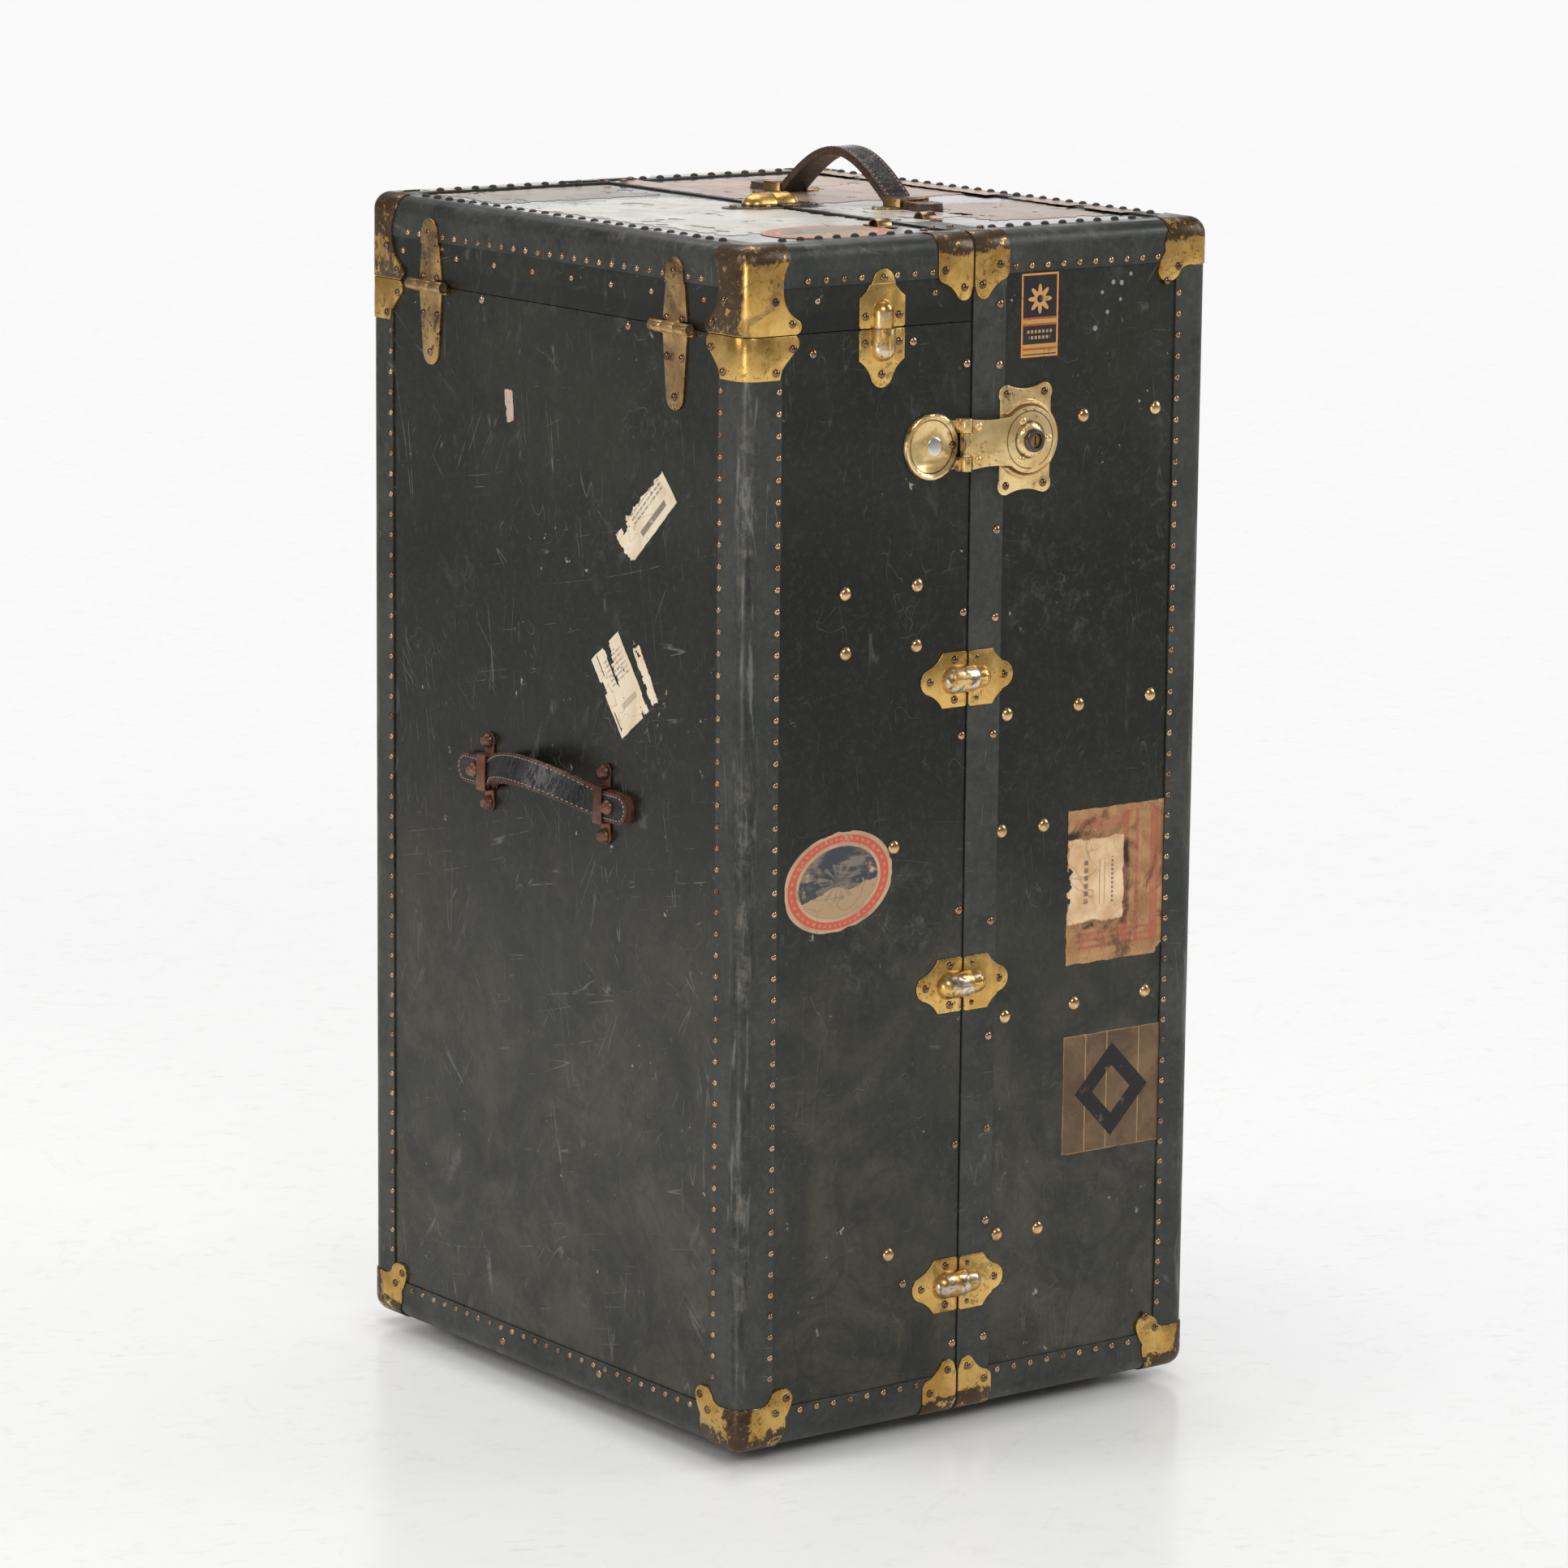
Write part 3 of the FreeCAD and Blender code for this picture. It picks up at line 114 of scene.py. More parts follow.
class Finish:
    # a material made of nodes; each helper adds a few nodes and gives back the last one's output, and tone
    # is the colour so far
    def __init__(self, name, rough=0.5, metal=0.0, gloss=0.5):
        self.tone = None
        self.mat = bpy.data.materials.new(name)
        self.mat.use_nodes = True
        self.tree = self.mat.node_tree
        self.shader = self.tree.nodes["Principled BSDF"]
        self.shader.inputs["Roughness"].default_value = rough
        self.shader.inputs["Metallic"].default_value = metal
        self.shader.inputs["Specular IOR Level"].default_value = gloss
        self.spot = self.node("ShaderNodeTexCoord").outputs["Object"]

    def node(self, kind, values=(), **settings):
        made = self.tree.nodes.new(kind)
        for key, value in settings.items():
            setattr(made, key, value)
        for slotName, value in dict(values).items():
            self.give(made.inputs[slotName], value)
        return made

    def give(self, socket, value):
        if isinstance(value, bpy.types.NodeSocket):
            self.tree.links.new(value, socket)
        elif isinstance(value, tuple) and socket.type == "RGBA":
            socket.default_value = (*value, 1)
        else:
            socket.default_value = value

    def put(self, **values):
        # the tone and any further values go to the shader
        for key, value in {"colour": self.tone, **values}.items():
            self.give(self.shader.inputs[shaderSockets[key]], value)
        return self

    def calc(self, how, first, second=0.0, clamp=False):
        return self.node("ShaderNodeMath", {0: first, 1: second}, operation=how, use_clamp=clamp).outputs[0]

    def chain(self, how, first, *others):
        for other in others:
            first = self.calc(how, first, other)
        return first

    def times(self, *parts):
        return self.chain("MULTIPLY", *parts)

    def plus(self, *parts):
        return self.chain("ADD", *parts)

    def minus(self, *parts):
        return self.chain("SUBTRACT", *parts)

    def most(self, *parts):
        return self.chain("MAXIMUM", *parts)

    def least(self, *parts):
        return self.chain("MINIMUM", *parts)

    def gap(self, value, middle):
        return self.calc("ABSOLUTE", self.minus(value, middle))

    def ramp(self, value, low, high, start=0.0, end=1.0):
        given = {"Value": value, "From Min": low, "From Max": high, "To Min": start, "To Max": end}
        return self.node("ShaderNodeMapRange", given, interpolation_type="SMOOTHSTEP").outputs[0]

    def fall(self, value, low, high):
        return self.ramp(value, low, high, 1.0, 0.0)

    def blend(self, share, first, second):
        return self.node("ShaderNodeMix", {0: share, 6: first, 7: second}, data_type="RGBA").outputs[2]

    def lay(self, share, colour, strength=1.0):
        # a further colour over the tone so far
        covered = share if strength == 1 else self.times(share, strength)
        self.tone = self.blend(covered, self.tone, colour)
        return self

    def shape(self, scale=(1, 1, 1), turn=(0, 0, 0), move=(0, 0, 0), at=None):
        given = {"Vector": at or self.spot, "Scale": scale, "Rotation": [math.radians(a) for a in turn],
                 "Location": move}
        return self.node("ShaderNodeMapping", given).outputs[0]

    def cloud(self, scale, detail=4.0, rough=0.55, warp=0.0, at=None):
        given = {"Vector": at or self.spot, "Scale": scale, "Detail": detail, "Roughness": rough,
                 "Distortion": warp}
        return self.node("ShaderNodeTexNoise", given).outputs[0]

    def patch(self, low, high, scale, detail=4.0, rough=0.55, warp=0.0, at=None, ends=(0.0, 1.0)):
        # patches of a cloud: from one end at its low value to the other at its high value
        return self.ramp(self.cloud(scale, detail, rough, warp, at), low, high, *ends)

    def cells(self, scale):
        given = {"Vector": self.spot, "Scale": scale}
        return self.node("ShaderNodeTexVoronoi", given, feature="DISTANCE_TO_EDGE").outputs["Distance"]

    def axes(self, at=None):
        return self.node("ShaderNodeSeparateXYZ", {0: at or self.spot}).outputs

    def depths(self):
        # millimetres inwards from the trunk's nearest side, front or back, and top or underside
        x, y, z = self.axes()
        found = []
        for value, low, upper in ((x, left, right), (y, front, back), (z, bottom, top)):
            inwards = self.least(self.minus(value, low), self.minus(upper, value))
            found.append(self.calc("DIVIDE", inwards, mm))
        return found

    def fromEdge(self):
        # on an outer face, millimetres to the nearest edge of the trunk: the middle one of the three depths
        a, b, c = self.depths()
        return self.most(self.least(a, b), self.least(self.most(a, b), c))

    def hair(self, cloud, width):
        # thin winding lines along the middle value of a cloud
        return self.fall(self.gap(cloud, 0.5), 0.0, width)

    def bump(self, height, strength, depth):
        given = {"Height": height, "Strength": strength, "Distance": depth}
        self.give(self.shader.inputs["Normal"], self.node("ShaderNodeBump", given).outputs[0])
        return self


shaderSockets = {"colour": "Base Color", "rough": "Roughness", "metal": "Metallic",
                 "gloss": "Specular IOR Level"}


def nothingSelected():
    bpy.ops.object.select_all(action="DESELECT")


def scaleIntoMesh():
    bpy.ops.object.transform_apply(location=False, rotation=False, scale=True)


def makeCamera():
    bpy.ops.object.camera_add(location=camera["place"], rotation=[math.radians(a) for a in camera["turn"]])
    cam = bpy.context.object
    cam.name = "Camera"
    cam.data.lens = camera["lens"]
    cam.data.sensor_width = 36
    cam.data.clip_end = 120
    bpy.context.scene.camera = cam


def addMath(tree, how, first, second):
    made = tree.nodes.new("ShaderNodeMath")
    made.operation = how
    for socket, value in zip(made.inputs, (first, second)):
        if isinstance(value, bpy.types.NodeSocket):
            tree.links.new(value, socket)
        else:
            socket.default_value = value
    return made.outputs[0]


def seenShare(tree, inGloss):
    # 1 for camera and transmission rays, inGloss for glossy ones, 0 for the light on the object
    rays = tree.nodes.new("ShaderNodeLightPath").outputs
    straight = addMath(tree, "MAXIMUM", rays["Is Camera Ray"], rays["Is Transmission Ray"])
    return addMath(tree, "MAXIMUM", straight, addMath(tree, "MULTIPLY", rays["Is Glossy Ray"], inGloss))


def distanceFrom(finish, first, second, atFirst, atSecond):
    # in a plane, from one point
    squares = [finish.calc("POWER", finish.minus(value, at), 2)
               for value, at in ((first, atFirst), (second, atSecond))]
    return finish.calc("SQRT", finish.plus(*squares))


def paperFloor():
    # lit and shadowed paper near the trunk, which glows a little for the camera and more so far away
    paper = Finish("paperFloor", rough=0.22, gloss=0.35)
    x, y, _ = paper.axes()
    reach, aside = (distanceFrom(paper, x, y, *middle) for middle in ((0, 0), studio["contactMiddle"]))
    scuffs = paper.hair(paper.cloud(2.2, 3, 0.55, 2.5), 0.004)
    smudge = paper.patch(0.53, 0.70, 26, 8, 0.75)
    slanted = paper.shape(scale=(30, 90, 1), at=paper.shape(turn=(0, 0, 24)))
    grit = paper.times(paper.patch(0.56, 0.68, 1.0, 6, 0.75, at=slanted), paper.patch(0.42, 0.62, 5, 4))
    wear = studio["wear"]
    worn = paper.plus(paper.times(scuffs, wear["scuffs"]), paper.times(smudge, wear["smudge"]))
    worn = paper.calc("ADD", worn, paper.times(grit, wear["grit"]), clamp=True)
    paper.tone = paper.blend(worn, studio["paper"], studio["wornPaper"])
    paper.put()
    farTone = paper.blend(worn, studio["farPaper"], studio["wornFarPaper"])
    glow = paper.node("ShaderNodeEmission", {"Color": farTone, "Strength": 1.0})
    near = paper.ramp(aside, *studio["contact"], studio["contactGlow"], studio["nearGlow"])
    aboutX = paper.minus(paper.calc("ABSOLUTE", x), (right - left) / 2)
    aboutY = paper.minus(paper.calc("ABSOLUTE", y), (back - front) / 2)
    near = paper.times(near, paper.ramp(paper.most(aboutX, aboutY), -0.005, studio["skirt"]))
    far = paper.plus(near, paper.ramp(reach, *studio["litReach"], 0.0, 1.0 - studio["nearGlow"]))
    share = paper.times(far, seenShare(paper.tree, 0.1))
    mixed = paper.node("ShaderNodeMixShader", {0: share, 1: paper.shader.outputs[0], 2: glow.outputs[0]})
    paper.tree.links.new(mixed.outputs[0], paper.tree.nodes["Material Output"].inputs["Surface"])
    return paper.mat


def makeStudio():
    nothingSelected()
    bpy.ops.mesh.primitive_plane_add(size=studio["floorSize"], location=(0, 0, 0))
    floor = bpy.context.object
    floor.name = "studioFloor"
    floor.data.materials.append(paperFloor())
    for number, (place, aim, size, watts, colour) in enumerate(studio["lamps"]):
        bpy.ops.object.light_add(type="AREA", location=place)
        lamp = bpy.context.object
        lamp.name = "softbox%d" % number
        lamp.data.shape = "RECTANGLE"
        lamp.data.size, lamp.data.size_y = size
        lamp.data.energy = watts
        lamp.data.color = colour
        lamp.rotation_euler = (Vector(aim) - Vector(place)).to_track_quat("-Z", "Y").to_euler()
    world = bpy.data.worlds.new("studioWorld")
    bpy.context.scene.world = world
    world.use_nodes = True
    tree = world.node_tree
    sky = tree.nodes["Background"]
    sky.inputs["Color"].default_value = (1, 1, 1, 1)
    rays = tree.nodes.new("ShaderNodeLightPath").outputs
    less = addMath(tree, "MULTIPLY", rays["Is Glossy Ray"], studio["world"] - studio["worldInGloss"])
    plain = addMath(tree, "SUBTRACT", studio["world"], less)
    tree.links.new(addMath(tree, "MAXIMUM", plain, seenShare(tree, 0)), sky.inputs["Strength"])
    bpy.context.scene.view_settings.view_transform = "Standard"


makeCamera()
makeStudio()
print("camera, floor and lamps are in")


# places on the trunk, and how pieces are put there

faceAxes = {  # across and up, seen from outside
    "front": (Vector((1, 0, 0)), Vector((0, 0, 1))),
    "back": (Vector((-1, 0, 0)), Vector((0, 0, 1))),
    "left": (Vector((0, -1, 0)), Vector((0, 0, 1))),
    "right": (Vector((0, 1, 0)), Vector((0, 0, 1))),
    "top": (Vector((1, 0, 0)), Vector((0, 1, 0))),
}


def onFace(face, u, v, out=0.0, turn=0.0):
    # u runs from the left or front edge and v from the bottom or front edge, in mm
    across, up = faceAxes[face]
    normal = across.cross(up)
    corner = {
        "front": Vector((left + u * mm, front, bottom + v * mm)),
        "back": Vector((left + u * mm, back, bottom + v * mm)),
        "left": Vector((left, front + u * mm, bottom + v * mm)),
        "right": Vector((right, front + u * mm, bottom + v * mm)),
        "top": Vector((left + u * mm, front + v * mm, top)),
    }[face]
    stand = Matrix((across, up, normal)).transposed().to_4x4()
    turned = stand @ Matrix.Rotation(math.radians(turn), 4, "Z")
    return Matrix.Translation(corner + normal * out * mm) @ turned


def bodyAt(face, u, v):
    if face == "right" or (face != "left" and u > split):
        return "drawer_half"
    if face == "top" or v > seam:
        return "lid"
    return "wardrobe_half"


def alone(piece):
    nothingSelected()
    piece.select_set(True)
    bpy.context.view_layer.objects.active = piece


def settle(piece, name, body, finish=None):
    # the place goes into the mesh, and the piece rides its body
    alone(piece)
    bpy.ops.object.transform_apply(location=True, rotation=True, scale=True)
    piece.name = name
    if finish:
        piece.data.materials.clear()
        piece.data.materials.append(finish)
    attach(piece, body)
    return piece


def copyAt(master, place):
    twin = master.copy()
    twin.data = master.data.copy()
    bpy.context.collection.objects.link(twin)
    twin.matrix_world = place
    return twin


def repeated(master, name, places, body, finish):
    # copies of a small shape, joined to one piece for each body
    copies = [copyAt(master, place) for place in places]
    nothingSelected()
    for twin in copies:
        twin.select_set(True)
    bpy.context.view_layer.objects.active = copies[0]
    bpy.ops.object.join()
    return settle(copies[0], name, body, finish)


def editAll():
    bpy.ops.object.mode_set(mode="EDIT")
    bpy.ops.mesh.select_all(action="SELECT")


def finishWith(piece, kind, **settings):
    if "angle_limit" in settings:  # given in degrees
        settings.update(limit_method="ANGLE", angle_limit=math.radians(settings["angle_limit"]))
    alone(piece)
    modifier = piece.modifiers.new(kind.lower(), kind)
    for key, value in settings.items():
        setattr(modifier, key, value)
    bpy.ops.object.modifier_apply(modifier=modifier.name)


# finishes: paint, bindings, brass, steel, leather, wood and paper

def scratchLines(finish, turn, share, length=3.0, spread=60.0):
    # long near-parallel scratches, along the turned upright direction, broken up and kept to patches
    turned = finish.shape(turn=turn)
    field = finish.cloud(1.0, 0.4, 0.5, 0.0, at=finish.shape(scale=(spread, spread, length), at=turned))
    moved = finish.shape(move=(turn[0] * 0.1, 0.3, turn[1] * 0.1))
    patches = finish.patch(0.60 - share, 0.66 - share, 9, 5, 0.65, at=moved)
    pieces = finish.patch(0.47, 0.60, 28, 3, 0.6, at=finish.shape(move=(0.2, turn[1] * 0.1, 0.4)))
    return finish.times(finish.hair(field, 0.010), finish.times(patches, pieces))


def scratched(finish, scratches):
    return finish.most(*[scratchLines(finish, *scratch) for scratch in scratches])


def speckled(finish, light, dark, share):
    # fine light and dark grain of old paint
    grain = finish.cloud(170, 6, 0.8)
    finish.lay(finish.ramp(grain, 0.50, 0.64, 0.0, share), light)
    finish.lay(finish.ramp(grain, 0.50, 0.36, 0.0, share * 1.6), dark)


painted = {
    "deep": (0.0115, 0.0124, 0.0078),
    "faded": (0.0210, 0.0208, 0.0130),
    "oliveAndFloorReflection": (0.068, 0.062, 0.040),  # painted floor reflection, lighter and more olive down towards the feet
    "streak": (0.075, 0.071, 0.055),
    "grime": (0.0055, 0.0056, 0.0046),
    "middle": (0.0042, 0.0044, 0.0030),  # painted shade: the darkest stretch, above half height
    "scratch": (0.19, 0.185, 0.165),
    "smear": (0.135, 0.137, 0.135),
    "scuff": (0.115, 0.111, 0.095),
    "swirl": (0.009, 0.009, 0.009),  # winding dark lines, low down
    "grain": ((0.100, 0.098, 0.083), (0.006, 0.006, 0.005), 0.13),  # light, dark, share
    "chip": (0.34, 0.30, 0.23),
    "bleached": (0.32, 0.37, 0.38),
    "aboveSeam": (0.006, 0.0065, 0.007),
    "ply": ((0.055, 0.045, 0.035), (0.16, 0.13, 0.095)),
    "lining": ((0.30, 0.235, 0.15), (0.42, 0.345, 0.235)),
    "thread": (0.11, 0.10, 0.10),
    "skin": (2.6, 3.1),  # mm from the outer faces to where the paint ends and the plies show
    "wall": (10.2, 10.6),  # and to where the lining begins
    "scratches": [  # turn in degrees, share of the surface, how closely they end
        ((0, 7, 0), 0.06, 2.0), ((0, 83, 0), 0.05, 4.0), ((0, -44, 0), 0.02, 3.0),
        ((-78, 0, 0), 0.08, 3.5), ((9, 0, 0), 0.10, 2.0), ((48, 0, 0), 0.07, 4.0), ((-30, 0, 0), 0.07, 4.0),
    ],
    "spots": [  # small bleached spots on the front, each with its radius, in mm
        (404, 969, 1.8), (385, 963, 2.1), (394, 962, 2.2), (373, 955, 1.7), (393, 948, 1.6), (379, 938, 1.9),
        (366, 925, 2.3), (419, 980, 1.4),
    ],
}


def bleachedSpots(paint):
    for u, v, radius in painted["spots"]:
        spot = onFace("front", u, v, -fibre).to_translation()
        distance = paint.node("ShaderNodeVectorMath", {0: paint.spot, 1: spot}, operation="DISTANCE")
        away = distance.outputs["Value"]
        paint.lay(paint.ramp(away, radius * 0.8 * mm, radius * 1.15 * mm, 0.75, 0.0), painted["bleached"])


def darkAboveSeam(paint, x, z):
    # the lid's front is darker for some way up from the seam
    starts = paint.ramp(z, bottom + (seam - 1) * mm, bottom + (seam + 1) * mm)
    ends = paint.fall(z, bottom + (seam + 13) * mm, bottom + (seam + 19) * mm)
    onLid = paint.fall(x, left + split * mm, left + (split + 1) * mm)
    paint.lay(paint.times(starts, ends, onLid), painted["aboveSeam"], 0.6)


def insideFinish(paint, x, y):
    # plies show at the walls' edges, and striped cloth covers the inside; gives the depth back
    depth = paint.least(*paint.depths())
    ply = paint.calc("FRACT", paint.calc("DIVIDE", depth, 2.4))
    edge = paint.blend(paint.ramp(ply, 0.4, 0.6), *painted["ply"])
    stripe = paint.calc("FRACT", paint.times(paint.plus(x, y), 42))
    thread = paint.fall(paint.gap(stripe, 0.5), 0.055, 0.075)
    lining = paint.blend(paint.cloud(7, 5), *painted["lining"])
    lining = paint.blend(paint.times(thread, 0.6), lining, painted["thread"])
    paint.lay(paint.ramp(depth, *painted["skin"]), edge)
    paint.lay(paint.ramp(depth, *painted["wall"]), lining)
    return depth


def paintedFibre():
    # worn paint outside, with painted floor reflection towards the feet and painted shade above half height,
    # layered fibre at the edges, a lining inside
    paint = Finish("paintedFibre", rough=0.45, gloss=0.5)
    x, y, z = paint.axes()
    paint.tone = paint.blend(paint.patch(0.36, 0.68, 5.0, 6, 0.62, 0.6), painted["deep"], painted["faded"])
    # painted floor reflection: the panels grow lighter and more olive towards the feet
    low = paint.fall(z, 0.10, 0.80)
    paint.lay(paint.times(low, paint.patch(0.34, 0.70, 9, 6, 0.7, 1.2)), painted["oliveAndFloorReflection"], 0.9)
    upright = paint.shape(scale=(7, 7, 0.9))
    paint.lay(paint.patch(0.54, 0.74, 3.2, 5, 0.6, at=upright), painted["streak"], 0.20)
    paint.lay(paint.patch(0.50, 0.66, 14, 8, 0.7, 0.4), painted["grime"], 0.6)
    # painted shade: a darker stretch above half height, where the gloss is lowered too
    middle = paint.times(paint.ramp(z, 0.36, 0.58), paint.fall(z, 0.70, 0.86))
    paint.lay(middle, painted["middle"], 0.62)
    pale = scratched(paint, painted["scratches"])
    onSide = paint.ramp(x, left + 4 * mm, left + 2 * mm)
    paint.lay(paint.times(pale, paint.ramp(onSide, 0, 1, 0.30, 0.62)), painted["scratch"])
    slanted = paint.shape(scale=(46, 34, 15), at=paint.shape(turn=(-14, 10, 0)))
    smears = paint.times(paint.patch(0.60, 0.70, 1.0, 5, 0.62, 0.5, at=slanted),
                         paint.patch(0.46, 0.60, 7, 4, 0.6))
    paint.lay(paint.times(smears, paint.ramp(onSide, 0, 1, 0.16, 0.42)), painted["smear"])
    scuffed = paint.times(paint.patch(0.50, 0.66, 60, 6, 0.75, 0.5), paint.patch(0.53, 0.66, 4.5, 4, 0.6))
    paint.lay(scuffed, painted["scuff"], 0.36)
    swirl = paint.hair(paint.cloud(4.2, 2.0, 0.4, 3.0), 0.007)
    paint.lay(paint.times(swirl, low), painted["swirl"], 0.5)
    speckled(paint, *painted["grain"])
    chips = paint.times(paint.patch(0.705, 0.735, 85, 3, 0.6), paint.patch(0.46, 0.58, 6, 3))
    paint.lay(chips, painted["chip"])
    bleachedSpots(paint)
    darkAboveSeam(paint, x, z)
    depth = insideFinish(paint, x, y)
    rough = paint.plus(paint.patch(0.3, 0.7, 9, 5, 0.65, ends=(0.22, 0.38)),
                       paint.ramp(depth, *painted["skin"], 0.0, 0.35))
    topSheen = paint.times(paint.ramp(z, top - 4 * mm, top - 2 * mm), 0.14)
    paint.put(rough=paint.minus(rough, topSheen), gloss=paint.ramp(middle, 0, 1, 0.5, 0.40))
    height = paint.plus(paint.times(paint.cloud(11, 4, 0.55), 0.7),
                        paint.times(paint.cloud(240, 2, 0.6), 0.05))
    return paint.bump(paint.minus(height, paint.times(pale, 0.1)), 0.30, 0.0012).mat


edging = {
    "deep": (0.0240, 0.0270, 0.0225),
    "faded": (0.047, 0.049, 0.040),
    "rubbed": (0.17, 0.145, 0.115),
    "graze": (0.18, 0.185, 0.175),
    "soot": (0.007, 0.007, 0.006),
    "scratch": (0.20, 0.19, 0.165),
    "dark": (0.008, 0.008, 0.008),
    "grain": ((0.130, 0.130, 0.110), (0.010, 0.010, 0.009), 0.17),
    "scratches": [((3, 4, 0), 0.09), ((0, 82, 0), 0.05, 4), ((74, 0, 0), 0.05, 4)],
}


def bindingFibre():
    # the bindings, rubbed along the trunk's edges and grazed on the upright ones
    cover = Finish("bindingFibre", rough=0.42, gloss=0.5)
    cover.tone = cover.blend(cover.patch(0.35, 0.68, 13, 6, 0.65), edging["deep"], edging["faded"])
    fromEdge = cover.fromEdge()
    rubbed = cover.times(cover.fall(fromEdge, 6.0, 13.0), cover.patch(0.46, 0.64, 70, 5, 0.7),
                         cover.patch(0.42, 0.62, 7, 4, 0.6))
    cover.lay(rubbed, edging["rubbed"], 0.6)
    upright = cover.ramp(cover.depths()[2], 45, 65)
    grazed = cover.times(cover.fall(fromEdge, 9.0, 18.0), upright)
    grazes = cover.cloud(150, 5, 0.65, 0.3, at=cover.shape(scale=(1, 1, 0.11)))
    cover.lay(cover.times(grazed, cover.ramp(grazes, 0.54, 0.66)), edging["graze"], 0.7)
    cover.lay(cover.times(grazed, cover.fall(grazes, 0.36, 0.46)), edging["soot"], 0.65)
    cover.lay(scratched(cover, edging["scratches"]), edging["scratch"], 0.55)
    cover.lay(cover.patch(0.56, 0.68, 34, 6, 0.7), edging["dark"], 0.5)
    speckled(cover, *edging["grain"])
    cover.put(rough=cover.patch(0.3, 0.7, 30, 4, ends=(0.28, 0.48)))
    return cover.bump(cover.cloud(60, 5, 0.65), 0.22, 0.0006).mat


def rubbedShare(brass, edge):
    # where hands and floors have rubbed the caps brown: all round the top and the underside, round the
    # feet's corners, and on the side faces of the lid and of the drawer half
    x, _, z = brass.axes()
    _, lengthways, upwards = brass.depths()
    ragged = brass.times(brass.minus(brass.cloud(30, 8, 0.75, 0.3), 0.5), edge * 2.4)
    ends = brass.fall(brass.plus(upwards, ragged), edge - 1.2, edge + 1.2)
    corners = brass.fall(brass.plus(brass.fromEdge(), ragged), edge - 1.2, edge + 1.2)
    corners = brass.times(corners, brass.fall(z, bottom + 0.07, bottom + 0.08))
    sides = brass.ramp(brass.plus(lengthways, brass.times(ragged, 0.35)), 5.0, 8.0)
    upper = brass.most(brass.ramp(z, bottom + seam * mm, bottom + (seam + 1) * mm), brass.ramp(x, 0.10, 0.11))
    sides = brass.times(sides, upper, brass.patch(0.36, 0.46, 26, 6, 0.7))
    nearFeet = brass.ramp(z, bottom + 0.05, bottom + 0.08, -0.03, 0.0)
    islands = brass.ramp(brass.plus(brass.cloud(85, 6, 0.75), nearFeet), 0.37, 0.43)
    worn = brass.most(ends, corners, sides)
    worn = brass.times(worn, brass.ramp(upwards, -2.5, -1.6))  # not the fittings on the top face
    return brass.times(worn, islands)


def wornDomes(brass):
    # the dowels' domes are polished pale and spotted brown; gives the spots back
    dome = brass.ramp(brass.depths()[1], -3.2, -6.0)
    brass.lay(brass.times(dome, brass.patch(0.44, 0.56, 75, 4, 0.6)), (0.80, 0.70, 0.60), 0.75)
    return brass.times(dome, brass.patch(0.52, 0.60, 110, 5, 0.7, 0.5), 0.85)


def groovesDirtAndShade(brass, grooves):
    # painted shade and dirt in the lock's grooves, as dark rings, each with its middle on the front, its
    # radius and half its width
    x, _, z = brass.axes()
    for u, v, radius, half in grooves:
        away = brass.gap(distanceFrom(brass, x, z, left + u * mm, bottom + v * mm), radius * mm)
        line = brass.fall(away, half * 0.5 * mm, half * 1.5 * mm)
        brass.lay(brass.times(line, brass.patch(0.30, 0.50, 70, 4)), (0.030, 0.014, 0.008), 0.85)


def agedBrass(name, bright, mellow, stain, wear=0.55, edge=0.0, specks=0.8, metal=0.97, rough=(0.20, 0.36),
              grooves=()):
    # edge is how many millimetres round the trunk's edges are rubbed down to brown
    brass = Finish(name, metal=metal, gloss=0.5)
    brass.tone = brass.blend(brass.patch(0.38, 0.64, 30, 6, 0.66, 0.3), bright, mellow)
    dull = brass.times(brass.patch(0.55, 0.62, 24, 8, 0.76, 0.8), wear)
    if edge:
        dull = brass.most(dull, rubbedShare(brass, edge), wornDomes(brass))
    brass.lay(dull, stain, 0.95)
    dots = brass.times(brass.patch(0.56, 0.61, 230, 4, 0.65), brass.patch(0.44, 0.60, 21, 4, 0.6))
    brass.lay(dots, (0.016, 0.010, 0.007), specks)
    groovesDirtAndShade(brass, grooves)
    fine = brass.hair(brass.cloud(30, 2, 0.5, 2.4), 0.006)
    brass.lay(fine, tuple(min(1, c * 1.35) for c in bright), 0.25)
    brass.put(rough=brass.plus(brass.times(dull, 0.05), brass.patch(0.3, 0.7, 45, 4, ends=rough)),
              metal=brass.minus(metal, brass.times(dull, 0.5)))
    dents = brass.plus(brass.times(brass.cloud(22, 3, 0.5), 1.5), brass.cloud(70, 4, 0.6))
    return brass.bump(brass.plus(dents, brass.times(dots, 0.4)), 0.25, 0.0005)


def darkOnTop(finish, dark, metal=0.3):
    # upward faces darker and less metallic, in patches
    up = finish.axes(finish.node("ShaderNodeTexCoord").outputs["Normal"])[2]
    share = finish.times(finish.ramp(up, 0.55, 0.9), finish.patch(0.34, 0.46, 80, 5, 0.7))
    return finish.lay(share, dark).put(metal=finish.ramp(share, 0, 1, 0.9, metal))


def wornSteel(name, tone, rust, share=0.5, rough=0.42, metal=0.85):
    steel = Finish(name, rough=rough, metal=metal)
    cover = steel.patch(0.62 - 0.3 * share, 0.78 - 0.3 * share, 60, 6, 0.7)
    steel.tone = steel.blend(cover, tone, rust)
    steel.put(rough=steel.ramp(cover, 0, 1, rough, 0.8), metal=steel.ramp(cover, 0, 1, metal, 0.15))
    return steel.bump(steel.cloud(120, 4), 0.25, 0.0004).mat


